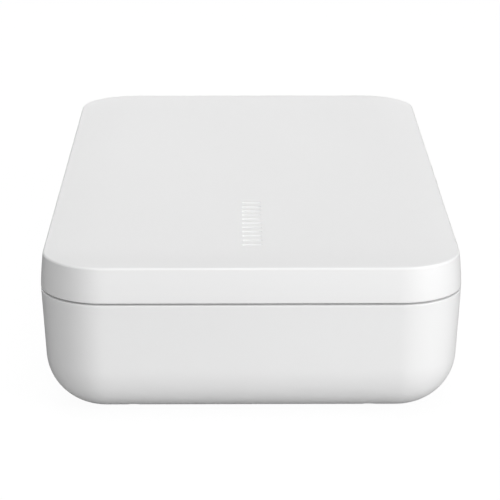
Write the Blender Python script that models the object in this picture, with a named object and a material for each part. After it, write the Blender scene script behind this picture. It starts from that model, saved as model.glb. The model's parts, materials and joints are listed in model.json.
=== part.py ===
"""Ultraviolet cleaning box for telephones: a two-lamp box with a hinged lid and a push button.

Lengths are in metres. X runs along the length, -Y is the front with the button, +Y the hinge side,
and +Z is up. The origin is the middle of the base shell's flat underside.
"""

import math

import bpy
from mathutils import Matrix, Vector

# Outer form of the closed box
LENGTH = 0.228
WIDTH = 0.128
HEIGHT = 0.049
CORNER_RADIUS = 0.020
LID_HEIGHT = 0.01192
SEAM_GAP = 0.0004
WALL = 0.0024
EDGE_ROUND = 0.0002
OVERRUN = 0.002
SEAT_GAP = 0.0003
HALF_LENGTH = LENGTH / 2
HALF_WIDTH = WIDTH / 2
SEAM_HEIGHT = HEIGHT - LID_HEIGHT

# Base shell
DRAFT_DEGREES = 3.1
BELLY_RADIUS = 0.0167
BASE_RIM = SEAM_HEIGHT - SEAM_GAP / 2
LID_RIM = SEAM_HEIGHT + SEAM_GAP / 2

# Lid shell
ROLL_WIDTH = 0.017
ROLL_DROP = 0.0008
LID_LEAN = 0.0007
RIM_RADIUS = 0.0008
SCOOP_WIDTH = 0.010
SCOOP_DEPTH = 0.0004
SCOOP_BELOW_TOP = 0.0035

# Telephone bay in the tray
BAY_MARGIN = 0.016
BAY_LENGTH = LENGTH - 2 * BAY_MARGIN
BAY_WIDTH = WIDTH - 2 * BAY_MARGIN
BAY_CORNER = 0.009
BAY_TAPER = 0.0010
BAY_FILLET = 0.0030
TRAY_WALL = 0.0016
FLANGE_CLEARANCE = 0.0003
LIP_INSET = 0.0046
LIP_WIDTH = 0.0012
LIP_HEIGHT = 0.0013
RIB_WIDTH = 0.0016
RIB_HEIGHT = 0.0012
RIB_COUNT_EACH_SIDE = 4
RIB_LAST_MARGIN = 0.018
RIB_PITCH = (BAY_LENGTH / 2 - RIB_LAST_MARGIN) / RIB_COUNT_EACH_SIDE
RIB_START = 0.014
RIB_END_MARGIN = 0.005
RIB_END = BAY_WIDTH / 2 - RIB_END_MARGIN

# Lid liner
LINER_INSET = 0.0068
LINER_LIFT = 0.0003
LINER_MOUTH_GROWTH = 0.0005

# Lamp sets, one under the tray floor and one over the liner ceiling
WINDOW_END_MARGIN = 0.020
WINDOW_LENGTH = BAY_LENGTH - 2 * WINDOW_END_MARGIN
WINDOW_WIDTH = 0.022
WINDOW_THICKNESS = 0.0010
WINDOW_MARGIN = 0.0020
WINDOW_CORNER = 0.003
LAMP_END_MARGIN = 0.012
LAMP_LENGTH = WINDOW_LENGTH - 2 * LAMP_END_MARGIN
LAMP_RADIUS = 0.0013
HOLDER_LENGTH = 0.005
HOLDER_WIDTH = 0.008
HOLDER_GRIP = 0.0035
REFLECTOR_SHEET = 0.0005
REFLECTOR_HALF_WIDTH = 0.0105
REFLECTOR_FLANGE = 0.0016

# Hinges
HINGE_MARGIN = 0.076
HINGE_OFFSET = HALF_LENGTH - HINGE_MARGIN
BARREL_RADIUS = 0.0020
KNUCKLE_LENGTH = 0.009
KNUCKLE_GAP = 0.0003
PIN_RADIUS = 0.00075
PIN_CLEARANCE = 0.0003
HINGE_BOSS = 0.0016
GUSSET_HEIGHT = 0.006
HEEL_REACH = 0.0034
HEEL_BELOW_DEGREES = 13.0
HEEL_DROP = 0.0030

# Feet
FOOT_RADIUS = 0.005
FOOT_PROUD = 0.0004
FOOT_RECESS = 0.0009
FOOT_MARGIN_X = 0.032
FOOT_MARGIN_Y = 0.030
FOOT_X = HALF_LENGTH - FOOT_MARGIN_X
FOOT_Y = HALF_WIDTH - FOOT_MARGIN_Y

# Screws
SCREW_RADIUS = 0.0010
SCREW_HEAD_RADIUS = 0.0019
SCREW_HEAD = 0.0010
SCREW_CLEARANCE = 0.0003
SCREW_FLAT_SHARE = 0.7
SCREW_SLOT_SHARE = 0.7
SCREW_SLOT_HALF_WIDTH = 0.00025
CASE_SCREW_MARGIN_X = 0.0114
CASE_SCREW_MARGIN_Y = 0.028
CASE_SCREW_X = HALF_LENGTH - CASE_SCREW_MARGIN_X
CASE_SCREW_Y = HALF_WIDTH - CASE_SCREW_MARGIN_Y
CASE_SCREW_LENGTH = 0.0100
CASE_BOSS_RADIUS = 0.0028
CASE_BOSS_JOINT = 0.0095
CASE_HEAD_SEAT = 0.0042
LINER_SCREW_MARGIN_X = 0.011
LINER_SCREW_MARGIN_Y = 0.034
LINER_SCREW_X = HALF_LENGTH - LINER_SCREW_MARGIN_X
LINER_SCREW_Y = HALF_WIDTH - LINER_SCREW_MARGIN_Y
LINER_SCREW_LENGTH = 0.0050
LINER_BOSS_RADIUS = 0.0028

# Power button, its switch and its board
BUTTON_X = -0.011
BUTTON_BELOW_SEAM = 0.01358
BUTTON_Z = SEAM_HEIGHT - BUTTON_BELOW_SEAM
BUTTON_RADIUS = 0.0050
BUTTON_PROUD = 0.0006
BUTTON_TRAVEL = 0.0005
BUTTON_FLANGE = 0.0010
BUTTON_FLANGE_GROWTH = 0.0011
BUTTON_STEM_RADIUS = 0.0016
BUTTON_CROWN = 0.0003
BUTTON_FLAT_SHARE = 0.6
BUTTON_FALL_SHARE = 0.3
SWITCH_SIDE = 0.0060
SWITCH_BODY = 0.0028
SWITCH_TIP_RADIUS = 0.0017
SWITCH_TIP = 0.0009
SWITCH_BOARD_MARGIN = 0.0124
SWITCH_BOARD_Y = SWITCH_BOARD_MARGIN - HALF_WIDTH
SWITCH_BOARD_LENGTH = 0.042
SWITCH_BOARD_BELOW = 0.0095
SWITCH_BOARD_ABOVE = 0.0100
SWITCH_BOARD_BOTTOM = BUTTON_Z - SWITCH_BOARD_BELOW
SWITCH_BOARD_TOP = BUTTON_Z + SWITCH_BOARD_ABOVE
BOARD_THICKNESS = 0.0016
BOARD_RIB_WIDTH = 0.0020
INDICATOR_OFFSET = 0.0120
INDICATOR_RADIUS = 0.0010
INDICATOR_COLLAR = 0.0006
SENSOR_LENGTH = 0.0042
SENSOR_HEIGHT = 0.0030
SENSOR_THICKNESS = 0.0015
SENSOR_OFFSET = 0.0140

# Main board with the charging-lead socket
MAIN_BOARD_LENGTH = 0.092
MAIN_BOARD_WIDTH = 0.0090
MAIN_BOARD_MARGIN = 0.0042
MAIN_BOARD_BACK = HALF_WIDTH - MAIN_BOARD_MARGIN
MAIN_BOARD_FRONT = MAIN_BOARD_BACK - MAIN_BOARD_WIDTH
MAIN_BOARD_Z = 0.0140
BOARD_POST_X = 0.036
BOARD_POST_RADIUS = 0.0020
SOCKET_WIDTH = 0.0090
SOCKET_HEIGHT = 0.0032
SOCKET_DEPTH = 0.0078
SOCKET_SHELL = 0.0004
SOCKET_HOLE_DEPTH = 0.0062
SOCKET_TONGUE = 0.0007
SOCKET_TONGUE_WIDTH = 0.0064
SOCKET_BEHIND_FACE = 0.0006
TRANSFORMER_X = 0.024
TRANSFORMER_LENGTH = 0.014
TRANSFORMER_WIDTH = 0.0080
TRANSFORMER_HEIGHT = 0.0095
TRANSFORMER_CHEEK = 0.0016
TRANSFORMER_WAIST = 0.0010

# Closing magnets
MAGNET_RADIUS = 0.0025
MAGNET_THICKNESS = 0.0018
MAGNET_MARGIN_X = 0.054
MAGNET_MARGIN_Y = 0.0105
MAGNET_X = HALF_LENGTH - MAGNET_MARGIN_X
MAGNET_Y = MAGNET_MARGIN_Y - HALF_WIDTH
MAGNET_WALL = 0.0010

# Counts
CORNER_STEPS = 8
BELLY_STEPS = 9
ROLL_STEPS = 5
LEAN_STEPS = 4
RIM_STEPS = 4
ROUND_SIDES = 24
SMALL_SIDES = 16

# Places worked out from the sizes above
DRAFT = math.tan(math.radians(DRAFT_DEGREES))
BELLY_INSET = (BASE_RIM - BELLY_RADIUS) * DRAFT + BELLY_RADIUS / math.cos(math.radians(DRAFT_DEGREES))
HINGE_Y = HALF_WIDTH
FLANGE_TOP = BASE_RIM
FLANGE_BOTTOM = FLANGE_TOP - TRAY_WALL
LINER_BOTTOM = LID_RIM + LINER_LIFT
LINER_TOP = LINER_BOTTOM + TRAY_WALL
LID_CEILING = HEIGHT - ROLL_DROP - WALL
REFLECTOR_DEPTH = 2 * (LAMP_RADIUS + SEAT_GAP)
LAMP_SPACE = TRAY_WALL + SEAT_GAP + REFLECTOR_DEPTH + REFLECTOR_SHEET + SEAT_GAP
BAY_FLOOR = WALL + LAMP_SPACE
BAY_CEILING = LID_CEILING - LAMP_SPACE
HINGE_SPAN = 3 * KNUCKLE_LENGTH + 2 * KNUCKLE_GAP


def material(name, colour, roughness, metallic=0.0, transmission=0.0):
    made = bpy.data.materials.new(name)
    made.use_nodes = True
    made.diffuse_color = (*colour, 1.0)
    shader = made.node_tree.nodes["Principled BSDF"]
    shader.inputs["Base Color"].default_value = (*colour, 1.0)
    shader.inputs["Roughness"].default_value = roughness
    shader.inputs["Metallic"].default_value = metallic
    shader.inputs["Transmission Weight"].default_value = transmission
    return made


def mesh_object(name, points, faces, finish=None):
    """An object from points and faces in world space."""
    mesh = bpy.data.meshes.new(name)
    mesh.from_pydata([tuple(point) for point in points], [], faces)
    mesh.shade_smooth()
    mesh.set_sharp_from_angle(angle=math.radians(30))
    made = bpy.data.objects.new(name, mesh)
    bpy.context.scene.collection.objects.link(made)
    if finish:
        mesh.materials.append(finish)
    return made


def ring(half_x, half_y, radius, z):
    """Points of a rectangle with round corners, anticlockwise from above."""
    points = []
    for quarter, (side_x, side_y) in enumerate(((1, 1), (-1, 1), (-1, -1), (1, -1))):
        for step in range(CORNER_STEPS + 1):
            turn = (quarter + step / CORNER_STEPS) * math.pi / 2
            x = side_x * (half_x - radius) + radius * math.cos(turn)
            y = side_y * (half_y - radius) + radius * math.sin(turn)
            points.append((x, y, z))
    return points


def outline_ring(inset, z):
    """The box's plan outline, drawn in by the inset, at a height."""
    radius = max(CORNER_RADIUS - inset, BAY_CORNER / 4)
    return ring(HALF_LENGTH - inset, HALF_WIDTH - inset, radius, z)


def bay_ring(growth, z):
    return ring(BAY_LENGTH / 2 + growth, BAY_WIDTH / 2 + growth, BAY_CORNER + growth, z)


def loft(name, rings, finish=None):
    """A skin through rings of equal count, from an outer cap that faces down to a last cap."""
    count = len(rings[0])
    points = [point for one in rings for point in one]
    faces = [tuple(reversed(range(count)))]
    for level in range(len(rings) - 1):
        low, high = level * count, (level + 1) * count
        for side in range(count):
            after = (side + 1) % count
            faces.append((low + side, low + after, high + after, high + side))
    faces.append(tuple(range(len(points) - count, len(points))))
    return mesh_object(name, points, faces, finish)


def block(name, low, high, finish=None):
    """A box between two corners."""
    points = [(x, y, z) for z in (low[2], high[2]) for y in (low[1], high[1]) for x in (low[0], high[0])]
    faces = [(0, 2, 3, 1), (4, 5, 7, 6), (0, 1, 5, 4), (2, 6, 7, 3), (0, 4, 6, 2), (1, 3, 7, 5)]
    return mesh_object(name, points, faces, finish)


def prism(name, profile, start, end, finish=None):
    """A (y, z) profile, anticlockwise seen from +X, carried along X from start to end."""
    count = len(profile)
    points = [(x, y, z) for x in (start, end) for y, z in profile]
    faces = [tuple(reversed(range(count))), tuple(range(count, 2 * count))]
    for side in range(count):
        after = (side + 1) % count
        faces.append((side, after, count + after, count + side))
    return mesh_object(name, points, faces, finish)


def turned(name, profile, axis, centre, finish=None, sides=ROUND_SIDES):
    """A (radius, height) profile turned about an axis through a centre, running up its outer side."""
    turn = Vector((0, 0, 1)).rotation_difference(Vector(axis)).to_matrix()
    inner = profile[1:-1]
    points = [turn @ Vector((0, 0, profile[0][1]))]
    for radius, height in inner:
        for side in range(sides):
            angle = 2 * math.pi * side / sides
            points.append(turn @ Vector((radius * math.cos(angle), radius * math.sin(angle), height)))
    points.append(turn @ Vector((0, 0, profile[-1][1])))
    faces = []
    last = len(points) - 1
    for side in range(sides):
        after = (side + 1) % sides
        faces.append((0, 1 + after, 1 + side))
        faces.append((last, last - sides + side, last - sides + after))
    for level in range(len(inner) - 1):
        low, high = 1 + level * sides, 1 + (level + 1) * sides
        for side in range(sides):
            after = (side + 1) % sides
            faces.append((low + side, low + after, high + after, high + side))
    made = mesh_object(name, points, faces, finish)
    made.location = centre
    return made


def rod(name, radius, start, end, finish=None, sides=ROUND_SIDES):
    """A plain cylinder from one point to another."""
    length = (Vector(end) - Vector(start)).length
    profile = [(0, 0), (radius, 0), (radius, length), (0, length)]
    return turned(name, profile, (Vector(end) - Vector(start)).normalized(), start, finish, sides)


def combine(target, name, helpers, operation):
    """One Boolean on the target, with its separate helpers gathered into one body that is not shown."""
    points, faces = [], []
    for helper in helpers:
        first = len(points)
        points += [helper.location + vertex.co for vertex in helper.data.vertices]
        faces += [tuple(first + corner for corner in face.vertices) for face in helper.data.polygons]
        bpy.data.objects.remove(helper)
    gathered = mesh_object(name, points, faces)
    gathered.hide_render = True
    gathered.display_type = "WIRE"
    step = target.modifiers.new(name, "BOOLEAN")
    step.operation = operation
    step.solver = "EXACT"
    step.object = gathered


def cut(target, name, helpers):
    combine(target, name, helpers, "DIFFERENCE")


def add(target, name, helpers):
    combine(target, name, helpers, "UNION")


def screw_hole(name, x, y, heights):
    """A stepped cutter: a head well from the first height to the second, then a shank hole to the third."""
    start, seat, end = heights
    well, hole = SCREW_HEAD_RADIUS + SCREW_CLEARANCE, SCREW_RADIUS + SCREW_CLEARANCE
    profile = [(0, start), (well, start), (well, seat), (hole, seat), (hole, end), (0, end)]
    return turned(name, profile, (0, 0, 1), (x, y, 0), sides=SMALL_SIDES)


def four_places(x, y):
    """A name, an x and a y for each of four like pieces placed about the middle."""
    return [
        (f"{word}_{end}", side_x * x, side_y * y)
        for side_x, word in ((-1, "left"), (1, "right"))
        for side_y, end in ((-1, "front"), (1, "rear"))
    ]


def wall_inset(z):
    """How far the base's drafted outer wall lies inside the outline at a height."""
    return (BASE_RIM - z) * DRAFT


def belly(inset_more):
    """(inset, z) points of the base's bottom fillet, outer when inset_more is 0, else inside the wall."""
    radius = BELLY_RADIUS - inset_more
    first = math.radians(90)
    sweep = math.radians(90 - DRAFT_DEGREES)
    points = []
    for step in range(BELLY_STEPS + 1):
        turn = first - sweep * step / BELLY_STEPS
        points.append((BELLY_INSET - radius * math.cos(turn), BELLY_RADIUS - radius * math.sin(turn)))
    return points


def belly_height(inset):
    """The height of the outer bottom fillet at an inset from the outline."""
    return BELLY_RADIUS - math.sqrt(BELLY_RADIUS**2 - (BELLY_INSET - inset) ** 2)


def lean_inset(z):
    """How far the lid's side has leaned in at a height, as the height's share to the power 1.5."""
    share = (z - LID_RIM) / (HEIGHT - ROLL_DROP - RIM_RADIUS - LID_RIM)
    return LID_LEAN * share**1.5


def build_base_shell(finish):
    outer = belly(0)
    outer += [(EDGE_ROUND * DRAFT, BASE_RIM - EDGE_ROUND), (EDGE_ROUND, BASE_RIM)]
    inner = [(WALL, BASE_RIM), *reversed(belly(WALL))]
    rings = [outline_ring(inset, z) for inset, z in outer + inner]
    shell = loft("base_shell", rings, finish)

    raised = []
    for mark, x, y in four_places(CASE_SCREW_X, CASE_SCREW_Y):
        boss_foot = (x, y, belly_height(HALF_LENGTH - CASE_SCREW_X - CASE_BOSS_RADIUS) + EDGE_ROUND)
        tip = (x, y, CASE_BOSS_JOINT)
        raised.append(rod(f"case_boss_{mark}", CASE_BOSS_RADIUS, boss_foot, tip, sides=SMALL_SIDES))
    for side in (-1, 1):
        x = side * BOARD_POST_X
        y = (MAIN_BOARD_FRONT + MAIN_BOARD_BACK) / 2
        foot = (x, y, belly_height(HALF_WIDTH - y - BOARD_POST_RADIUS) + WALL / 2)
        raised.append(rod(f"board_post_{side}", BOARD_POST_RADIUS, foot, (x, y, MAIN_BOARD_Z - SEAT_GAP)))
    front = -HALF_WIDTH + WALL / 2 + wall_inset(BUTTON_Z)
    rib_back = SWITCH_BOARD_Y - BOARD_THICKNESS - SEAT_GAP
    for side in (-1, 1):
        x = BUTTON_X + side * (SWITCH_BOARD_LENGTH / 2 - BOARD_RIB_WIDTH)
        low = (x - BOARD_RIB_WIDTH / 2, front, SWITCH_BOARD_BOTTOM)
        high = (x + BOARD_RIB_WIDTH / 2, rib_back, SWITCH_BOARD_TOP)
        raised.append(block(f"board_rib_{side}", low, high))

    holes = []
    for mark, x, y in four_places(CASE_SCREW_X, CASE_SCREW_Y):
        heights = (-OVERRUN, CASE_HEAD_SEAT, CASE_BOSS_JOINT + OVERRUN)
        holes.append(screw_hole(f"case_screw_hole_{mark}", x, y, heights))
    for mark, x, y in four_places(FOOT_X, FOOT_Y):
        recess = FOOT_RADIUS + SEAT_GAP
        holes.append(rod(f"foot_recess_{mark}", recess, (x, y, -OVERRUN), (x, y, FOOT_RECESS)))
    hole = BUTTON_RADIUS + SEAT_GAP
    start = (BUTTON_X, -HALF_WIDTH - OVERRUN, BUTTON_Z)
    inside = (BUTTON_X, -HALF_WIDTH + WALL + OVERRUN, BUTTON_Z)
    holes.append(rod("button_hole", hole, start, inside))
    lamp_x = BUTTON_X + INDICATOR_OFFSET
    hole = INDICATOR_RADIUS + SEAT_GAP
    start = (lamp_x, -HALF_WIDTH - OVERRUN, BUTTON_Z)
    inside = (lamp_x, -HALF_WIDTH + WALL + OVERRUN, BUTTON_Z)
    holes.append(rod("indicator_hole", hole, start, inside, sides=SMALL_SIDES))
    holes.append(socket_shape("socket_hole", SEAT_GAP, HALF_WIDTH - WALL - OVERRUN, HALF_WIDTH + OVERRUN))
    shape_shell(shell, -1, raised, holes)
    return shell


def socket_shape(name, growth, start, end, finish=None):
    """A bar along Y with the socket's round-ended section, larger by the growth all round."""
    half_height = SOCKET_HEIGHT / 2 + growth
    reach = SOCKET_WIDTH / 2 - SOCKET_HEIGHT / 2
    middle = MAIN_BOARD_Z + BOARD_THICKNESS + SEAT_GAP + SOCKET_HEIGHT / 2
    section = []
    for centre, first in ((reach, -90), (-reach, 90)):
        for step in range(CORNER_STEPS + 1):
            turn = math.radians(first + 180 * step / CORNER_STEPS)
            section.append((centre + half_height * math.cos(turn), middle + half_height * math.sin(turn)))
    count = len(section)
    points = [(x, y, z) for y in (end, start) for x, z in section]
    faces = [tuple(reversed(range(count))), tuple(range(count, 2 * count))]
    for side in range(count):
        after = (side + 1) % count
        faces.append((side, after, count + after, count + side))
    return mesh_object(name, points, faces, finish)


def hinge_point(radius, degrees):
    """A (y, z) point at a radius and an angle about the hinge axis; 0 points to the rear."""
    turn = math.radians(degrees)
    return (HINGE_Y + radius * math.cos(turn), SEAM_HEIGHT + radius * math.sin(turn))


def knuckle_profile(up):
    """The barrel, with a gusset down (or up) to the wall that carries it; a base one has a stop heel."""
    end = SEAM_HEIGHT + up * GUSSET_HEIGHT
    inner, outer = (HINGE_Y - WALL / 2, end), (HINGE_Y - WALL / 4, end)
    if up > 0:
        points = [outer, inner]
        first = -180
    else:
        heel = hinge_point(HEEL_REACH, -HEEL_BELOW_DEGREES)
        root = hinge_point(BARREL_RADIUS, -HEEL_BELOW_DEGREES)
        points = [inner, outer, (heel[0], heel[1] - HEEL_DROP), heel, root]
        first = 0
    steps = ROUND_SIDES // 2
    points += [hinge_point(BARREL_RADIUS, first + 180 * step / steps) for step in range(steps + 1)]
    return points


def knuckle_spans(middle):
    """X ranges of the left base, the lid and the right base knuckle of one hinge."""
    start = middle - HINGE_SPAN / 2
    step = KNUCKLE_LENGTH + KNUCKLE_GAP
    return [(start + number * step, start + number * step + KNUCKLE_LENGTH) for number in range(3)]


def shape_shell(shell, up, raised, holes):
    """Both hinges on the base (up -1) or the lid (up 1), with its other raised forms and holes."""
    rim = LID_RIM if up > 0 else BASE_RIM
    far = rim + up * GUSSET_HEIGHT
    pockets, knuckles = [], []
    for side in (-1, 1):
        spans = knuckle_spans(side * HINGE_OFFSET)
        low = (spans[0][0] - HINGE_BOSS, HINGE_Y - WALL - HINGE_BOSS, min(rim, far))
        high = (spans[2][1] + HINGE_BOSS, HINGE_Y - WALL / 2 - LID_LEAN, max(rim, far))
        raised.append(block(f"hinge_backing_{side}", low, high))
        first = (spans[0][0] - KNUCKLE_GAP, HINGE_Y, SEAM_HEIGHT)
        last = (spans[2][1] + KNUCKLE_GAP, HINGE_Y, SEAM_HEIGHT)
        pockets.append(rod(f"hinge_pocket_{side}", BARREL_RADIUS + SEAT_GAP, first, last))
        for number, (start, end) in enumerate([spans[1]] if up > 0 else [spans[0], spans[2]]):
            knuckles.append(prism(f"knuckle_{side}_{number}", knuckle_profile(up), start, end))
        first = (spans[0][0] - KNUCKLE_GAP / 2, HINGE_Y, SEAM_HEIGHT)
        last = (spans[2][1] + KNUCKLE_GAP / 2, HINGE_Y, SEAM_HEIGHT)
        holes.append(rod(f"pin_bore_{side}", PIN_RADIUS + PIN_CLEARANCE, first, last, sides=SMALL_SIDES))
    word = "lid" if up > 0 else "base"
    add(shell, f"{word}_raised_forms", raised)
    cut(shell, f"{word}_hinge_pockets", pockets)
    add(shell, f"{word}_knuckles", knuckles)
    cut(shell, f"{word}_holes", holes)


def build_hinge_pins(finish):
    for side, name in ((-1, "hinge_pin_left"), (1, "hinge_pin_right")):
        spans = knuckle_spans(side * HINGE_OFFSET)
        length = spans[2][1] - spans[0][0]
        tip = PIN_RADIUS / 3
        profile = [(0, 0), (PIN_RADIUS - tip, 0), (PIN_RADIUS, tip), (PIN_RADIUS, length - tip)]
        profile += [(PIN_RADIUS - tip, length), (0, length)]
        turned(name, profile, (1, 0, 0), (spans[0][0], HINGE_Y, SEAM_HEIGHT), finish, SMALL_SIDES)


def build_tray(finish):
    """The bay, its flange and light-trap lip, as one skin whose underside follows the upper side."""
    corner = BAY_FILLET / math.sqrt(2) / 2
    under = TRAY_WALL
    rings = [bay_ring(under - BAY_TAPER - BAY_FILLET, BAY_FLOOR - TRAY_WALL)]
    rings.append(bay_ring(under - BAY_TAPER - corner, BAY_FLOOR - TRAY_WALL + corner))
    rings.append(bay_ring(under - BAY_TAPER, BAY_FLOOR - TRAY_WALL + BAY_FILLET))
    rings.append(bay_ring(under, FLANGE_BOTTOM))
    edge = WALL + FLANGE_CLEARANCE
    rings.append(outline_ring(edge + wall_inset(FLANGE_BOTTOM), FLANGE_BOTTOM))
    rings.append(outline_ring(edge + wall_inset(FLANGE_BOTTOM), FLANGE_TOP))
    rings.append(outline_ring(LIP_INSET, FLANGE_TOP))
    rings.append(outline_ring(LIP_INSET, FLANGE_TOP + LIP_HEIGHT))
    rings.append(outline_ring(LIP_INSET + LIP_WIDTH, FLANGE_TOP + LIP_HEIGHT))
    rings.append(outline_ring(LIP_INSET + LIP_WIDTH, FLANGE_TOP))
    rings.append(bay_ring(TRAY_WALL / 2, FLANGE_TOP))
    rings.append(bay_ring(0, FLANGE_TOP - TRAY_WALL / 2))
    rings.append(bay_ring(-BAY_TAPER, BAY_FLOOR + BAY_FILLET))
    rings.append(bay_ring(-BAY_TAPER - corner, BAY_FLOOR + corner))
    rings.append(bay_ring(-BAY_TAPER - BAY_FILLET, BAY_FLOOR))
    tray = loft("base_tray", rings, finish)

    raised = []
    for number in range(-RIB_COUNT_EACH_SIDE, RIB_COUNT_EACH_SIDE + 1):
        for side in (-1, 1):
            x = number * RIB_PITCH
            ends = sorted((side * RIB_START, side * RIB_END))
            low = (x - RIB_WIDTH / 2, ends[0], BAY_FLOOR - TRAY_WALL / 2)
            high = (x + RIB_WIDTH / 2, ends[1], BAY_FLOOR + RIB_HEIGHT)
            raised.append(block(f"rest_rib_{number}_{side}", low, high))
    for mark, x, y in four_places(CASE_SCREW_X, CASE_SCREW_Y):
        foot = (x, y, CASE_BOSS_JOINT + SEAT_GAP)
        top = (x, y, FLANGE_BOTTOM + TRAY_WALL / 2)
        raised.append(rod(f"tray_boss_{mark}", CASE_BOSS_RADIUS, foot, top, sides=SMALL_SIDES))
    pocket = MAGNET_RADIUS + SEAT_GAP
    floor = FLANGE_TOP - MAGNET_THICKNESS - 2 * SEAT_GAP
    for side in (-1, 1):
        x = side * MAGNET_X
        place = (x, MAGNET_Y, floor - MAGNET_WALL)
        high = (x, MAGNET_Y, FLANGE_TOP - TRAY_WALL / 2)
        raised.append(rod(f"magnet_cup_{side}", pocket + MAGNET_WALL, place, high))
    add(tray, "tray_raised_forms", raised)

    holes = [window_cutter("tray", BAY_FLOOR, -1)]
    hole = SCREW_RADIUS + SCREW_CLEARANCE
    for mark, x, y in four_places(CASE_SCREW_X, CASE_SCREW_Y):
        start = (x, y, CASE_BOSS_JOINT - OVERRUN)
        end = (x, y, CASE_HEAD_SEAT + CASE_SCREW_LENGTH + OVERRUN)
        holes.append(rod(f"tray_pilot_{mark}", hole, start, end, sides=SMALL_SIDES))
    for side in (-1, 1):
        x = side * MAGNET_X
        mouth = (x, MAGNET_Y, FLANGE_TOP + OVERRUN)
        holes.append(rod(f"magnet_pocket_{side}", pocket, (x, MAGNET_Y, floor), mouth))
        spans = knuckle_spans(side * HINGE_OFFSET)
        spare = HINGE_BOSS + SEAT_GAP
        inner = HINGE_Y - WALL - spare
        low = (spans[0][0] - spare, inner, FLANGE_BOTTOM - OVERRUN)
        high = (spans[2][1] + spare, HINGE_Y + OVERRUN, FLANGE_TOP + OVERRUN)
        holes.append(block(f"hinge_notch_{side}", low, high))
    cut(tray, "tray_holes", holes)
    return tray


def window_cutter(label, face, away):
    """A stepped cutter for a lamp window: its seat from the bay side, then the slot behind it."""
    half_x, half_y = WINDOW_LENGTH / 2, WINDOW_WIDTH / 2
    slot_x, slot_y = half_x - WINDOW_MARGIN, half_y - WINDOW_MARGIN
    seat = face + away * (WINDOW_THICKNESS + SEAT_GAP)
    rings = [ring(slot_x, slot_y, WINDOW_CORNER, z) for z in (face + away * (TRAY_WALL + OVERRUN), seat)]
    wide = (half_x + SEAT_GAP, half_y + SEAT_GAP, WINDOW_CORNER + SEAT_GAP)
    rings += [ring(*wide, z) for z in (seat, face - away * OVERRUN)]
    if away > 0:
        rings.reverse()
    return loft(f"window_hole_{label}", rings)


def build_lamp_set(label, face, away, finishes):
    """Window, lamp, two holders and the trough reflector behind a bay face; away is the lamp's side."""
    made = []
    ends = sorted((face, face + away * WINDOW_THICKNESS))
    rings = [ring(WINDOW_LENGTH / 2, WINDOW_WIDTH / 2, WINDOW_CORNER, z) for z in ends]
    made.append(loft(f"{label}_window", rings, finishes["quartz"]))

    back = face + away * (TRAY_WALL + SEAT_GAP)
    floor = back + away * REFLECTOR_DEPTH
    middle = floor - away * (SEAT_GAP + LAMP_RADIUS)
    half = LAMP_LENGTH / 2
    made.append(rod(f"{label}_lamp", LAMP_RADIUS, (-half, 0, middle), (half, 0, middle), finishes["lamp"]))
    for side in (-1, 1):
        start = side * (half - HOLDER_GRIP)
        end = start + side * HOLDER_LENGTH
        low = (min(start, end), -HOLDER_WIDTH / 2, min(back + away * SEAT_GAP, floor - away * SEAT_GAP))
        high = (max(start, end), HOLDER_WIDTH / 2, max(back + away * SEAT_GAP, floor - away * SEAT_GAP))
        name = f"{label}_lamp_holder_{'right' if side > 0 else 'left'}"
        holder = block(name, low, high, finishes["ceramic"])
        bore_end = start + side * (HOLDER_GRIP + SEAT_GAP)
        bore_start = start - side * OVERRUN
        bore = LAMP_RADIUS + SEAT_GAP
        cut(holder, f"{name}_bore", [rod("bore", bore, (bore_start, 0, middle), (bore_end, 0, middle))])
        slot_low = (min(bore_start, bore_end), -bore, min(middle, floor))
        slot_high = (max(bore_start, bore_end), bore, max(middle, floor))
        cut(holder, f"{name}_slot", [block("slot", slot_low, slot_high)])
        made.append(holder)

    sheet = REFLECTOR_SHEET
    wide, shallow = REFLECTOR_HALF_WIDTH, back
    slope = REFLECTOR_HALF_WIDTH - REFLECTOR_DEPTH
    outer = [(-wide - REFLECTOR_FLANGE, shallow), (-wide, shallow), (-slope, floor), (slope, floor)]
    outer += [(wide, shallow), (wide + REFLECTOR_FLANGE, shallow)]
    shifted = [(y, z + away * sheet) for y, z in outer]
    profile = outer + list(reversed(shifted))
    if away > 0:
        profile.reverse()
    profile.reverse()
    reach = WINDOW_LENGTH / 2
    made.append(prism(f"{label}_reflector", profile, -reach, reach, finishes["aluminium"]))
    return made


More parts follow.
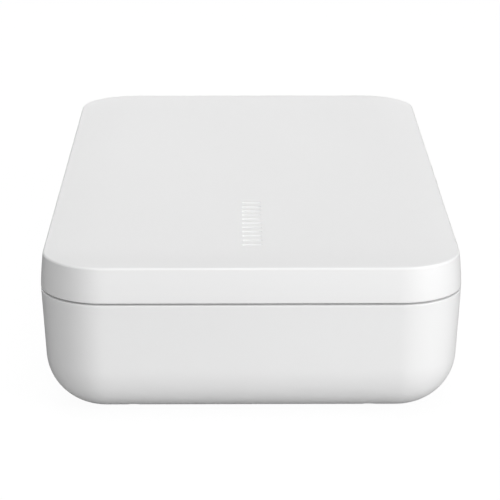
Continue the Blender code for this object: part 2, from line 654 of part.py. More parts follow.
def build_lid_shell(finish):
    """A lid whose sides lean in towards a small rim fillet and whose top rolls up to a flat middle."""
    side_top = HEIGHT - ROLL_DROP - RIM_RADIUS
    outer = [(EDGE_ROUND, LID_RIM), (0, LID_RIM + EDGE_ROUND)]
    for step in range(1, LEAN_STEPS + 1):
        z = LID_RIM + (side_top - LID_RIM) * step / LEAN_STEPS
        outer.append((lean_inset(z), z))
    for step in range(1, RIM_STEPS + 1):
        turn = math.pi / 2 * step / RIM_STEPS
        inset = LID_LEAN + RIM_RADIUS * (1 - math.cos(turn))
        outer.append((inset, side_top + RIM_RADIUS * math.sin(turn)))
    start = LID_LEAN + RIM_RADIUS
    for step in range(1, ROLL_STEPS + 1):
        share = step / ROLL_STEPS
        outer.append((start + ROLL_WIDTH * share, HEIGHT - ROLL_DROP * (1 - share) ** 2))
    inner = [(WALL, LID_RIM), (WALL + LID_LEAN, side_top - WALL), (WALL + LID_LEAN + WALL / 2, LID_CEILING)]
    rings = [outline_ring(inset, z) for inset, z in reversed(inner)]
    rings = rings + [outline_ring(inset, z) for inset, z in outer]
    shell = loft("lid_shell", rings, finish)

    tip = LINER_TOP + SEAT_GAP
    bosses, holes = [], []
    for mark, x, y in four_places(LINER_SCREW_X, LINER_SCREW_Y):
        top = (x, y, LID_CEILING + WALL / 2)
        bosses.append(rod(f"lid_boss_{mark}", LINER_BOSS_RADIUS, (x, y, tip), top, sides=SMALL_SIDES))
        hole = SCREW_RADIUS + SCREW_CLEARANCE
        end = (x, y, tip + LINER_SCREW_LENGTH)
        holes.append(rod(f"lid_pilot_{mark}", hole, (x, y, tip - OVERRUN), end, sides=SMALL_SIDES))

    depth_radius = (SCOOP_WIDTH**2 / 4 + SCOOP_DEPTH**2) / (2 * SCOOP_DEPTH)
    z = HEIGHT - SCOOP_BELOW_TOP
    centre = (BUTTON_X, -HALF_WIDTH + lean_inset(z) + SCOOP_DEPTH - depth_radius, z)
    profile = []
    for step in range(2 * ROUND_SIDES + 1):
        turn = math.pi * (step / (2 * ROUND_SIDES) - 1 / 2)
        profile.append((depth_radius * math.cos(turn), depth_radius * math.sin(turn)))
    holes.append(turned("thumb_scoop", profile, (0, 0, 1), centre, sides=3 * ROUND_SIDES))
    shape_shell(shell, 1, bosses, holes)
    return shell


def build_liner(finish):
    """The lid's inner skin: a flange that closes over the tray and a raised ceiling over the bay."""
    rings = [bay_ring(-BAY_TAPER, BAY_CEILING), bay_ring(LINER_MOUTH_GROWTH, LINER_BOTTOM)]
    rings.append(outline_ring(LINER_INSET, LINER_BOTTOM))
    rings.append(outline_ring(LINER_INSET, LINER_TOP))
    rings.append(bay_ring(TRAY_WALL + LINER_MOUTH_GROWTH, LINER_TOP))
    rings.append(bay_ring(TRAY_WALL - BAY_TAPER, BAY_CEILING + TRAY_WALL))
    liner = loft("lid_liner", rings, finish)
    roof = LINER_BOTTOM + MAGNET_THICKNESS + 2 * SEAT_GAP
    pocket = MAGNET_RADIUS + SEAT_GAP
    start = LINER_BOTTOM - OVERRUN
    cups, holes = [], [window_cutter("liner", BAY_CEILING, 1)]
    for side in (-1, 1):
        x = side * MAGNET_X
        top = (x, MAGNET_Y, roof + MAGNET_WALL)
        low = (x, MAGNET_Y, LINER_TOP - TRAY_WALL / 2)
        cups.append(rod(f"lid_magnet_cup_{side}", pocket + MAGNET_WALL, low, top))
        holes.append(rod(f"lid_magnet_pocket_{side}", pocket, (x, MAGNET_Y, start), (x, MAGNET_Y, roof)))
    for mark, x, y in four_places(LINER_SCREW_X, LINER_SCREW_Y):
        heights = (start, LINER_BOTTOM + SCREW_HEAD + SEAT_GAP, LINER_TOP + OVERRUN)
        holes.append(screw_hole(f"liner_screw_hole_{mark}", x, y, heights))
    add(liner, "liner_cups", cups)
    cut(liner, "liner_holes", holes)
    return liner


def build_screw(name, length, place, finish):
    """A pan-head screw that points up, with its head's face at the place."""
    rim = SCREW_HEAD_RADIUS
    profile = [(0, 0), (rim * SCREW_FLAT_SHARE, 0), (rim, SCREW_HEAD / 2), (rim, SCREW_HEAD)]
    profile += [(SCREW_RADIUS, SCREW_HEAD), (SCREW_RADIUS, length), (0, length + SCREW_RADIUS)]
    screw = turned(name, profile, (0, 0, 1), place, finish, SMALL_SIDES)
    slot_length = SCREW_SLOT_SHARE * SCREW_HEAD_RADIUS
    slot = SCREW_SLOT_HALF_WIDTH
    low = (place[0] - slot_length, place[1] - slot, place[2] - OVERRUN)
    high = (place[0] + slot_length, place[1] + slot, place[2] + SCREW_HEAD / 2)
    cut(screw, f"{name}_slot", [block("slot", low, high)])
    return screw


def build_foot(name, place, finish):
    top = FOOT_RECESS - SEAT_GAP
    edge = FOOT_RADIUS - FOOT_PROUD / 2
    profile = [(0, -FOOT_PROUD), (edge, -FOOT_PROUD), (FOOT_RADIUS, -FOOT_PROUD / 2)]
    profile += [(FOOT_RADIUS, top), (0, top)]
    return turned(name, profile, (0, 0, 1), place, finish)


def build_button(finish):
    """A round cap with a low crown, a flange behind the wall and a stem that meets the switch."""
    flange = BUTTON_RADIUS + BUTTON_FLANGE_GROWTH
    face = -HALF_WIDTH + wall_inset(BUTTON_Z + BUTTON_RADIUS) - BUTTON_PROUD
    behind_wall = -HALF_WIDTH + wall_inset(BUTTON_Z - flange) + WALL + SEAT_GAP - face
    stem = switch_tip_y() - BUTTON_TRAVEL - SEAT_GAP / 2 - face
    soft = BUTTON_CROWN
    profile = [(0, 0), (BUTTON_RADIUS * BUTTON_FLAT_SHARE, soft * BUTTON_FALL_SHARE)]
    profile += [(BUTTON_RADIUS - soft, soft), (BUTTON_RADIUS, 2 * soft)]
    profile += [(BUTTON_RADIUS, behind_wall), (flange, behind_wall), (flange, behind_wall + BUTTON_FLANGE)]
    profile += [(BUTTON_STEM_RADIUS, behind_wall + BUTTON_FLANGE), (BUTTON_STEM_RADIUS, stem), (0, stem)]
    return turned("power_button", profile, (0, 1, 0), (BUTTON_X, face, BUTTON_Z), finish)


def switch_front_y():
    return SWITCH_BOARD_Y - BOARD_THICKNESS - SEAT_GAP - SWITCH_BODY


def switch_tip_y():
    return switch_front_y() - SWITCH_TIP


def build_switch_side(finishes):
    half = SWITCH_BOARD_LENGTH / 2
    low = (BUTTON_X - half, SWITCH_BOARD_Y - BOARD_THICKNESS, SWITCH_BOARD_BOTTOM)
    high = (BUTTON_X + half, SWITCH_BOARD_Y, SWITCH_BOARD_TOP)
    block("switch_board", low, high, finishes["board"])

    front, back = switch_front_y(), SWITCH_BOARD_Y - BOARD_THICKNESS - SEAT_GAP
    side = SWITCH_SIDE / 2
    low = (BUTTON_X - side, front, BUTTON_Z - side)
    switch = block("button_switch", low, (BUTTON_X + side, back, BUTTON_Z + side), finishes["switch"])
    tip = (BUTTON_X, switch_tip_y(), BUTTON_Z)
    core = (BUTTON_X, back - SWITCH_BODY / 2, BUTTON_Z)
    add(switch, "switch_plunger", [rod("plunger", SWITCH_TIP_RADIUS, tip, core)])

    x = BUTTON_X + INDICATOR_OFFSET
    face = -HALF_WIDTH + wall_inset(BUTTON_Z)
    length = back - face
    wide = INDICATOR_RADIUS + INDICATOR_COLLAR
    shoulder = WALL + SEAT_GAP * 2
    profile = [(0, 0), (INDICATOR_RADIUS, 0), (INDICATOR_RADIUS, shoulder), (wide, shoulder), (wide, length)]
    profile.append((0, length))
    turned("indicator_light", profile, (0, 1, 0), (x, face, BUTTON_Z), finishes["light"], SMALL_SIDES)

    x = BUTTON_X - SENSOR_OFFSET
    high = (x + SENSOR_LENGTH / 2, back, SWITCH_BOARD_TOP)
    low = (x - SENSOR_LENGTH / 2, back - SENSOR_THICKNESS, SWITCH_BOARD_TOP - SENSOR_HEIGHT)
    block("lid_sensor", low, high, finishes["switch"])


def build_main_side(finishes):
    half = MAIN_BOARD_LENGTH / 2
    top = MAIN_BOARD_Z + BOARD_THICKNESS
    low = (-half, MAIN_BOARD_FRONT, MAIN_BOARD_Z)
    block("main_board", low, (half, MAIN_BOARD_BACK, top), finishes["board"])

    face = HALF_WIDTH - wall_inset(top) - SOCKET_BEHIND_FACE
    socket = socket_shape("usb_c_port", 0, face - SOCKET_DEPTH, face, finishes["steel"])
    mouth = socket_shape("port_mouth", -SOCKET_SHELL, face - SOCKET_HOLE_DEPTH, face + OVERRUN)
    cut(socket, "port_hole", [mouth])
    middle = top + SEAT_GAP + SOCKET_HEIGHT / 2
    low = (-SOCKET_TONGUE_WIDTH / 2, face - SOCKET_HOLE_DEPTH - SOCKET_SHELL, middle - SOCKET_TONGUE / 2)
    high = (SOCKET_TONGUE_WIDTH / 2, face - SOCKET_TONGUE, middle + SOCKET_TONGUE / 2)
    add(socket, "port_tongue", [block("tongue", low, high)])

    centre_y = (MAIN_BOARD_FRONT + MAIN_BOARD_BACK) / 2
    half_x, half_y = TRANSFORMER_LENGTH / 2, TRANSFORMER_WIDTH / 2
    low = (TRANSFORMER_X - half_x, centre_y - half_y, top + SEAT_GAP)
    high = (TRANSFORMER_X + half_x, centre_y + half_y, top + SEAT_GAP + TRANSFORMER_HEIGHT)
    body = block("lamp_transformer", low, high, finishes["switch"])
    waists = []
    for side in (-1, 1):
        edge = centre_y + side * half_y
        ends = sorted((edge - side * TRANSFORMER_WAIST, edge + side * OVERRUN))
        low = (TRANSFORMER_X - half_x + TRANSFORMER_CHEEK, ends[0], top + SEAT_GAP + TRANSFORMER_CHEEK)
        high_z = top + SEAT_GAP + TRANSFORMER_HEIGHT - TRANSFORMER_CHEEK
        high = (TRANSFORMER_X + half_x - TRANSFORMER_CHEEK, ends[1], high_z)
        waists.append(block(f"transformer_waist_{side}", low, high))
    cut(body, "transformer_waists", waists)


def main():
    for old in list(bpy.data.objects):
        bpy.data.objects.remove(old, do_unlink=True)
    finishes = {
        "shell": material("white_abs", (0.82, 0.82, 0.82), 0.35),
        "tray": material("white_abs_inner", (0.78, 0.78, 0.79), 0.30),
        "rubber": material("grey_rubber", (0.30, 0.30, 0.31), 0.85),
        "steel": material("bright_steel", (0.62, 0.62, 0.63), 0.25, metallic=1.0),
        "aluminium": material("polished_aluminium", (0.85, 0.86, 0.87), 0.12, metallic=1.0),
        "magnet": material("nickel_magnet", (0.60, 0.58, 0.55), 0.22, metallic=1.0),
        "quartz": material("quartz_glass", (0.95, 0.96, 0.98), 0.05, transmission=1.0),
        "lamp": material("lamp_glass", (0.90, 0.92, 0.98), 0.08, transmission=0.6),
        "ceramic": material("white_ceramic", (0.85, 0.84, 0.80), 0.40),
        "board": material("green_laminate", (0.05, 0.22, 0.10), 0.45),
        "switch": material("black_nylon", (0.03, 0.03, 0.03), 0.50),
        "light": material("clear_acrylic", (0.80, 0.88, 0.95), 0.10, transmission=0.8),
    }
    build_base_shell(finishes["shell"])
    build_tray(finishes["tray"])
    build_hinge_pins(finishes["steel"])
    build_switch_side(finishes)
    build_main_side(finishes)
    build_lamp_set("base", BAY_FLOOR, -1, finishes)

    lid_pieces = [build_lid_shell(finishes["shell"]), build_liner(finishes["tray"])]
    lid_pieces += build_lamp_set("lid", BAY_CEILING, 1, finishes)
    for side_x, word in ((-1, "left"), (1, "right")):
        size = [(0, 0), (MAGNET_RADIUS, 0), (MAGNET_RADIUS, MAGNET_THICKNESS), (0, MAGNET_THICKNESS)]
        place = (side_x * MAGNET_X, MAGNET_Y, FLANGE_TOP - SEAT_GAP - MAGNET_THICKNESS)
        turned(f"base_magnet_{word}", size, (0, 0, 1), place, finishes["magnet"])
        place = (side_x * MAGNET_X, MAGNET_Y, LINER_BOTTOM + SEAT_GAP)
        lid_pieces.append(turned(f"lid_magnet_{word}", size, (0, 0, 1), place, finishes["magnet"]))
    for mark, x, y in four_places(FOOT_X, FOOT_Y):
        build_foot(f"foot_{mark}", (x, y, 0), finishes["rubber"])
    for mark, x, y in four_places(CASE_SCREW_X, CASE_SCREW_Y):
        place = (x, y, CASE_HEAD_SEAT - SEAT_GAP - SCREW_HEAD)
        build_screw(f"case_screw_{mark}", CASE_SCREW_LENGTH, place, finishes["steel"])
    for mark, x, y in four_places(LINER_SCREW_X, LINER_SCREW_Y):
        place = (x, y, LINER_BOTTOM)
        lid_pieces.append(build_screw(f"liner_screw_{mark}", LINER_SCREW_LENGTH, place, finishes["steel"]))

    pivot = bpy.data.objects.new("lid_pivot", None)
    pivot.location = (0, HINGE_Y, SEAM_HEIGHT)
    bpy.context.scene.collection.objects.link(pivot)
    for piece in lid_pieces:
        piece.parent = pivot
        piece.matrix_parent_inverse = Matrix.Translation(pivot.location).inverted()
    build_button(finishes["shell"])


main()
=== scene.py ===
"""Looks of a white ultraviolet cleaning box for telephones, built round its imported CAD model.

Lengths are in metres in the CAD's own frame: X along the box, -Y the front with the button, +Y the
hinges, +Z up. Every new piece is a grid of points worked out with numpy and closed into a skin.
"""

import json
import math

import bpy
import numpy as np
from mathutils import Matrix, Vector


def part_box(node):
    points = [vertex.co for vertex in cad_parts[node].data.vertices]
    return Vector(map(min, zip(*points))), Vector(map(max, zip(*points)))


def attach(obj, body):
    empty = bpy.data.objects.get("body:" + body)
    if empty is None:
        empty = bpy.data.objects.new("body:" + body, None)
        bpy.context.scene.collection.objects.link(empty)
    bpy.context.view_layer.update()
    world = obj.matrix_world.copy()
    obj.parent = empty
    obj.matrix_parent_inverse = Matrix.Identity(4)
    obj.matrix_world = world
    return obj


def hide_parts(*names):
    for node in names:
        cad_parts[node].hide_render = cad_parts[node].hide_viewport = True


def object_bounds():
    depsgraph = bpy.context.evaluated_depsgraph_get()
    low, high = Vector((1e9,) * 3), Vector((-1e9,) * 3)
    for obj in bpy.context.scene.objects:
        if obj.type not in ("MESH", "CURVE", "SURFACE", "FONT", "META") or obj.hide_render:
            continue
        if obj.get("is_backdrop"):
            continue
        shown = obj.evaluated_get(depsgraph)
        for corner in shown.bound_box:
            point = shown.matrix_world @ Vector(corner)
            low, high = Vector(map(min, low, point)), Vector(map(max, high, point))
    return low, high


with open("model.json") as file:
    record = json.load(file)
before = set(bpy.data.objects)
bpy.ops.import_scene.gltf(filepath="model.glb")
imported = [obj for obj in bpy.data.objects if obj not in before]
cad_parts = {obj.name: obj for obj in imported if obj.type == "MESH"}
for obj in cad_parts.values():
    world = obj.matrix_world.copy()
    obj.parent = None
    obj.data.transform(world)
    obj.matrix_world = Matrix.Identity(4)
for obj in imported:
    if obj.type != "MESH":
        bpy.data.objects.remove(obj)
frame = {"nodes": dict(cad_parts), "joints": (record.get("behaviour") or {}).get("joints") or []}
CAD_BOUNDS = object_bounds()

bl_info = {
    "name": "Ultraviolet Cleaning Box",
    "version": (1, 0, 0),
    "blender": (4, 5, 0),
    "location": "View3D > Sidebar > Cleaning Box",
    "description": "Builds the finished surfaces, materials and studio of a telephone cleaning box",
    "category": "Add Mesh",
}

MM = 0.001
LID_LOW, LID_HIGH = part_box("lid_shell")
HINGE = {joint["name"]: joint for joint in frame["joints"]}["lid_hinge"]
HINGE_Y, SEAM_Z = HINGE["pos_m"][1], HINGE["pos_m"][2]
MARKS = [f"{side}_{end}" for side in ("left", "right") for end in ("front", "rear")]
SIDES = ("left", "right")


def middle(node):
    """The middle of a CAD node's box."""
    low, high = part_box(node)
    return tuple((a + b) / 2 for a, b in zip(low, high))


def span(node, axis):
    """The length of a CAD node's box along one axis."""
    low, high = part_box(node)
    return high[axis] - low[axis]


class CLEANBOX_PG_shell(bpy.types.PropertyGroup):
    """Real sizes of the two outer mouldings."""

    length: bpy.props.FloatProperty(
        name="Length", description="Outer length of the shut box", default=LID_HIGH[0] - LID_LOW[0],
        subtype="DISTANCE", unit="LENGTH")
    width: bpy.props.FloatProperty(
        name="Width", description="Outer width across the seam, hinges left out",
        default=-2 * LID_LOW[1], subtype="DISTANCE", unit="LENGTH")
    height: bpy.props.FloatProperty(
        name="Height", description="Height of the lid's top over the base's underside", default=LID_HIGH[2],
        subtype="DISTANCE", unit="LENGTH")
    corner: bpy.props.FloatProperty(
        name="Corner radius", description="Radius of the outline's corners seen from above",
        default=20 * MM, subtype="DISTANCE", unit="LENGTH")
    wall: bpy.props.FloatProperty(
        name="Wall", description="Thickness of both mouldings", default=2.4 * MM,
        subtype="DISTANCE", unit="LENGTH")
    seam: bpy.props.FloatProperty(
        name="Seam", description="Gap between lid and base", default=0.55 * MM,
        subtype="DISTANCE", unit="LENGTH")
    edge: bpy.props.FloatProperty(
        name="Edge round", description="Radius of the two edges beside the seam", default=0.35 * MM,
        subtype="DISTANCE", unit="LENGTH")
    belly: bpy.props.FloatProperty(
        name="Belly radius", description="Radius of the base's bottom edge", default=16.7 * MM,
        subtype="DISTANCE", unit="LENGTH")
    draft: bpy.props.FloatProperty(
        name="Draft", description="Slope of the base's wall", default=math.radians(3.1),
        subtype="ANGLE", unit="ROTATION")
    lean: bpy.props.FloatProperty(
        name="Lid lean", description="How far the lid's side leans in at its top", default=0.7 * MM,
        subtype="DISTANCE", unit="LENGTH")
    rim: bpy.props.FloatProperty(
        name="Rim radius", description="Radius of the lid's upper edge", default=0.8 * MM,
        subtype="DISTANCE", unit="LENGTH")
    roll: bpy.props.FloatProperty(
        name="Roll width", description="Width of the soft roll round the lid's top", default=17 * MM,
        subtype="DISTANCE", unit="LENGTH")
    drop: bpy.props.FloatProperty(
        name="Roll drop", description="How far the roll falls to the rim", default=0.8 * MM,
        subtype="DISTANCE", unit="LENGTH")


class CLEANBOX_PG_finish(bpy.types.PropertyGroup):
    """Colours of the finishes, as sRGB hex."""

    shell: bpy.props.StringProperty(
        name="Shell", description="Outer mouldings", default="F0F0F0")
    inner: bpy.props.StringProperty(
        name="Inner", description="Tray and liner", default="EDEEEF")
    rubber: bpy.props.StringProperty(
        name="Feet", description="Silicone of the feet", default="9A9C9E")
    board: bpy.props.StringProperty(
        name="Boards", description="Solder mask of the boards", default="1F5A36")


def shell_sizes():
    """The shells' sizes, as set in the sidebar."""
    return bpy.context.scene.cleaning_box_shell


def finish_colours():
    """The finishes' colours, as set in the sidebar."""
    return bpy.context.scene.cleaning_box_finish


def linear(hex_colour):
    """An sRGB hex colour as linear RGBA."""
    parts = [int(hex_colour[place:place + 2], 16) / 255 for place in (0, 2, 4)]
    return tuple(c / 12.92 if c <= 0.04045 else ((c + 0.055) / 1.055) ** 2.4 for c in parts) + (1.0,)


def new_node(tree, kind, inputs=None, links=None, **settings):
    """Adds a shader node, sets its settings and inputs, and links {input: output socket}."""
    made = tree.nodes.new(kind)
    for key, value in settings.items():
        setattr(made, key, value)
    for key, value in (inputs or {}).items():
        made.inputs[key].default_value = value
    for key, socket in (links or {}).items():
        tree.links.new(socket, made.inputs[key])
    return made


def new_material(name, colour, roughness, **sockets):
    """A material with one Principled shader; returns it, its tree and the shader."""
    made = bpy.data.materials.new(name)
    made.use_nodes = True
    tree = made.node_tree
    shader = tree.nodes["Principled BSDF"]
    shader.inputs["Base Color"].default_value = linear(colour)
    shader.inputs["Roughness"].default_value = roughness
    for key, value in sockets.items():
        shader.inputs[key.replace("_", " ").title().replace("Ior", "IOR")].default_value = value
    return made, tree, shader


def object_noise(tree, period, detail=2.0, roughness=0.5):
    """Noise over Object coordinates whose grains are one period apart."""
    place = new_node(tree, "ShaderNodeTexCoord")
    return new_node(
        tree, "ShaderNodeTexNoise", {"Scale": 1 / period, "Detail": detail, "Roughness": roughness},
        {"Vector": place.outputs["Object"]})


def vary_roughness(tree, shader, noise, low, high):
    """The noise moves the roughness between two values."""
    spread = new_node(
        tree, "ShaderNodeMapRange", {"From Min": 0.2, "From Max": 0.8, "To Min": low, "To Max": high},
        {"Value": noise.outputs["Fac"]})
    tree.links.new(spread.outputs["Result"], shader.inputs["Roughness"])


def vary_colour(tree, shader, noise, first, second):
    """The noise moves the colour between two hex colours."""
    blend = new_node(
        tree, "ShaderNodeMix", {"A": linear(first), "B": linear(second)},
        {"Factor": noise.outputs["Fac"]}, data_type="RGBA")
    tree.links.new(blend.outputs["Result"], shader.inputs["Base Color"])


def bump(tree, shader, noise, height, strength=1.0):
    """The noise raises the surface by up to a height in metres."""
    made = new_node(
        tree, "ShaderNodeBump", {"Strength": strength, "Distance": height},
        {"Height": noise.outputs["Fac"]})
    tree.links.new(made.outputs["Normal"], shader.inputs["Normal"])


def toned(hex_colour, factor):
    """The same colour, each channel times a factor."""
    parts = [int(hex_colour[place:place + 2], 16) for place in (0, 2, 4)]
    return "".join(f"{min(255, round(part * factor)):02X}" for part in parts)


def spark_textured_abs():
    """White ABS moulded in a finely spark-eroded tool: an even satin with a very fine grain."""
    colour = finish_colours().shell
    made, tree, shader = new_material("spark_textured_abs", colour, 0.42, ior=1.53)
    grain = object_noise(tree, 0.35 * MM, 3.0, 0.6)
    bump(tree, shader, grain, 0.004 * MM, 0.5)
    cloud = object_noise(tree, 42 * MM)
    vary_roughness(tree, shader, cloud, 0.39, 0.45)
    vary_colour(tree, shader, cloud, toned(colour, 0.996), toned(colour, 1.004))
    return made


def polished_abs():
    """White ABS from a polished tool: a clearer gloss than the outside, hardly wavy, as on an inner tray."""
    colour = finish_colours().inner
    made, tree, shader = new_material("polished_abs", colour, 0.26, ior=1.53)
    flow = object_noise(tree, 60 * MM, 1.0)
    vary_roughness(tree, shader, flow, 0.24, 0.29)
    vary_colour(tree, shader, flow, toned(colour, 0.995), toned(colour, 1.003))
    grain = object_noise(tree, 0.5 * MM)
    bump(tree, shader, grain, 0.001 * MM, 0.3)
    return made


def moulded_silicone():
    """Grey silicone rubber: matt, with the slightly mottled skin of a compression moulding."""
    colour = finish_colours().rubber
    made, tree, shader = new_material("moulded_silicone", colour, 0.8, ior=1.41)
    skin = object_noise(tree, 0.6 * MM, 3.0)
    bump(tree, shader, skin, 0.02 * MM, 0.6)
    vary_colour(tree, shader, skin, toned(colour, 0.93), toned(colour, 1.05))
    return made


def zinc_plated_steel():
    """Zinc-plated screw steel: pale blue-grey, with blotches of duller plating."""
    made, tree, shader = new_material("zinc_plated_steel", "B9BDC1", 0.32, metallic=1.0)
    plating = object_noise(tree, 1.5 * MM, 3.0)
    vary_roughness(tree, shader, plating, 0.24, 0.42)
    vary_colour(tree, shader, plating, "AFB3B8", "C6CACD")
    return made


def drawn_stainless_steel():
    """Drawn stainless steel: bright, with fine lines along the draw."""
    made, tree, shader = new_material("drawn_stainless_steel", "C3C4C6", 0.28, metallic=1.0)
    place = new_node(tree, "ShaderNodeTexCoord")
    stretch = new_node(
        tree, "ShaderNodeMapping", {"Scale": (0.05, 1.0, 1.0)}, {"Vector": place.outputs["Object"]})
    lines = new_node(
        tree, "ShaderNodeTexNoise", {"Scale": 1 / (0.25 * MM), "Detail": 2.0},
        {"Vector": stretch.outputs["Vector"]})
    vary_roughness(tree, shader, lines, 0.2, 0.36)
    bump(tree, shader, lines, 0.004 * MM, 0.5)
    return made


def nickel_plated_magnet():
    """Nickel plating over a pressed magnet: warm bright metal with tiny pits."""
    made, tree, shader = new_material("nickel_plated_magnet", "C9C3B8", 0.2, metallic=1.0)
    pits = object_noise(tree, 0.5 * MM, 2.0)
    vary_roughness(tree, shader, pits, 0.14, 0.28)
    bump(tree, shader, pits, 0.006 * MM, 0.5)
    return made


def rolled_aluminium():
    """Bright rolled aluminium sheet: mirror-like, with the roll's long fine lines."""
    made, tree, shader = new_material("rolled_aluminium", "E3E4E6", 0.12, metallic=1.0)
    place = new_node(tree, "ShaderNodeTexCoord")
    stretch = new_node(
        tree, "ShaderNodeMapping", {"Scale": (0.03, 1.0, 1.0)}, {"Vector": place.outputs["Object"]})
    lines = new_node(
        tree, "ShaderNodeTexNoise", {"Scale": 1 / (0.4 * MM), "Detail": 3.0},
        {"Vector": stretch.outputs["Vector"]})
    vary_roughness(tree, shader, lines, 0.08, 0.2)
    bump(tree, shader, lines, 0.006 * MM, 0.6)
    return made


def fused_quartz():
    """Fused quartz plate: clear, with hardly visible polishing waves."""
    made, tree, shader = new_material(
        "fused_quartz", "F7FAFB", 0.03, ior=1.46, transmission_weight=1.0)
    waves = object_noise(tree, 9 * MM)
    vary_roughness(tree, shader, waves, 0.02, 0.06)
    bump(tree, shader, waves, 0.01 * MM, 0.2)
    return made


def lamp_glass():
    """Lamp tube glass: clear, a little milky from its fired inner coat."""
    made, tree, shader = new_material(
        "lamp_tube_glass", "F1F4FA", 0.12, ior=1.49, transmission_weight=0.75)
    coat = object_noise(tree, 3 * MM)
    vary_roughness(tree, shader, coat, 0.08, 0.2)
    vary_colour(tree, shader, coat, "E9EDF5", "F8FAFD")
    return made


def fired_ceramic():
    """Fired steatite ceramic: off-white, dense and matt with fine grain."""
    made, tree, shader = new_material("fired_ceramic", "E8E3D8", 0.55, ior=1.6)
    grain = object_noise(tree, 0.4 * MM, 3.0)
    bump(tree, shader, grain, 0.01 * MM, 0.6)
    vary_colour(tree, shader, grain, "DED8CB", "EFEBE1")
    return made


def solder_masked_board():
    """Glass-fibre board under green solder mask, with paler copper runs showing through it."""
    colour = finish_colours().board
    made, tree, shader = new_material("solder_masked_board", colour, 0.35, ior=1.5)
    place = new_node(tree, "ShaderNodeTexCoord")
    cells = new_node(
        tree, "ShaderNodeTexVoronoi", {"Scale": 1 / (2.2 * MM)}, {"Vector": place.outputs["Object"]},
        distance="MANHATTAN")
    runs = new_node(
        tree, "ShaderNodeMapRange", {"From Min": 0.42, "From Max": 0.5}, {"Value": cells.outputs["Distance"]})
    blend = new_node(
        tree, "ShaderNodeMix", {"A": linear(colour), "B": linear(toned(colour, 1.35))},
        {"Factor": runs.outputs["Result"]}, data_type="RGBA")
    tree.links.new(blend.outputs["Result"], shader.inputs["Base Color"])
    return made


def moulded_nylon():
    """Black glass-filled nylon: dull, with faint fibre marks."""
    made, tree, shader = new_material("moulded_nylon", "1C1C1D", 0.5, ior=1.53)
    fibres = object_noise(tree, 0.5 * MM, 4.0)
    bump(tree, shader, fibres, 0.01 * MM, 0.5)
    vary_colour(tree, shader, fibres, "171718", "262627")
    return made


def wound_transformer():
    """A small transformer: amber polyester tape round the winding, black nylon cheeks at its ends."""
    made, tree, shader = new_material("wound_transformer", "C48A2A", 0.35, ior=1.6)
    low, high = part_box("lamp_transformer")
    place = new_node(tree, "ShaderNodeTexCoord")
    parts = new_node(tree, "ShaderNodeSeparateXYZ", links={"Vector": place.outputs["Object"]})
    centre, reach = (low[0] + high[0]) / 2, (high[0] - low[0]) / 2 - 1.6 * MM
    offset = new_node(
        tree, "ShaderNodeMath", {1: centre}, {0: parts.outputs["X"]}, operation="SUBTRACT")
    size = new_node(tree, "ShaderNodeMath", links={0: offset.outputs[0]}, operation="ABSOLUTE")
    cheek = new_node(tree, "ShaderNodeMath", {1: reach}, {0: size.outputs[0]}, operation="GREATER_THAN")
    blend = new_node(
        tree, "ShaderNodeMix", {"A": linear("C48A2A"), "B": linear("1C1C1D")},
        {"Factor": cheek.outputs[0]}, data_type="RGBA")
    tree.links.new(blend.outputs["Result"], shader.inputs["Base Color"])
    wraps = object_noise(tree, 1.2 * MM)
    vary_roughness(tree, shader, wraps, 0.28, 0.42)
    return made


def clear_acrylic():
    """Clear moulded acrylic light guide, slightly frosted at its face."""
    made, tree, shader = new_material(
        "clear_acrylic", "E6F0F6", 0.2, ior=1.49, transmission_weight=0.8)
    frost = object_noise(tree, 0.3 * MM)
    vary_roughness(tree, shader, frost, 0.12, 0.35)
    return made


FINISHES = {}


def finish(maker):
    """Each material is made once, by its own function."""
    if maker.__name__ not in FINISHES:
        FINISHES[maker.__name__] = maker()
    return FINISHES[maker.__name__]


def rounded_outline(half_x, half_y, radius, steps):
    """A rectangle's outline with round corners, as (n, 2) points: each corner is its centre plus
    radius times the cosine and sine of an angle that runs through a quarter turn."""
    share = np.linspace(0, 1, steps + 1)
    quarters = np.arange(4)[:, None]
    turn = (quarters + share) * np.pi / 2
    centre_x = np.array([1, -1, -1, 1])[:, None] * (half_x - radius)
    centre_y = np.array([1, 1, -1, -1])[:, None] * (half_y - radius)
    x = centre_x + radius * np.cos(turn)
    y = centre_y + radius * np.sin(turn)
    return np.stack([x.ravel(), y.ravel()], axis=1)


def skin(name, rings, material, sharp=30.0):
    """A closed skin through a (levels, around, 3) grid: quads join each ring to the next, the first
    ring is capped facing back and the last one facing on."""
    levels, around = rings.shape[:2]
    level = np.arange(levels - 1)[:, None] * around
    side = np.arange(around)[None, :]
    after = (side + 1) % around
    quads = np.stack([level + side, level + after, level + around + after, level + around + side], axis=-1)
    faces = quads.reshape(-1, 4).tolist()
    faces.append(list(range(around))[::-1])
    faces.append(list(range((levels - 1) * around, levels * around)))
    mesh = bpy.data.meshes.new(name)
    mesh.from_pydata(rings.reshape(-1, 3).tolist(), [], faces)
    return finished_object(name, mesh, material, sharp)


def finished_object(name, mesh, material, sharp=30.0):
    """Smooth shading with sharp edges past an angle, and the finish."""
    mesh.validate()
    mesh.shade_smooth()
    mesh.set_sharp_from_angle(angle=math.radians(sharp))
    made = bpy.data.objects.new(name, mesh)
    bpy.context.scene.collection.objects.link(made)
    if material:
        mesh.materials.append(material)
    return made


def shell_rings(profile):
    """A (inset, height) profile carried round the box's outline: each point of the profile is one
    ring, whose half sides and corner radius are the outline's less the inset."""
    sizes = shell_sizes()
    rings = []
    for inset, z in profile:
        corner = max(sizes.corner - inset, LEAST_CORNER)
        flat = rounded_outline(sizes.length / 2 - inset, sizes.width / 2 - inset, corner, SHELL_STEPS)
        rings.append(np.column_stack([flat, np.full(len(flat), z)]))
    return np.array(rings)


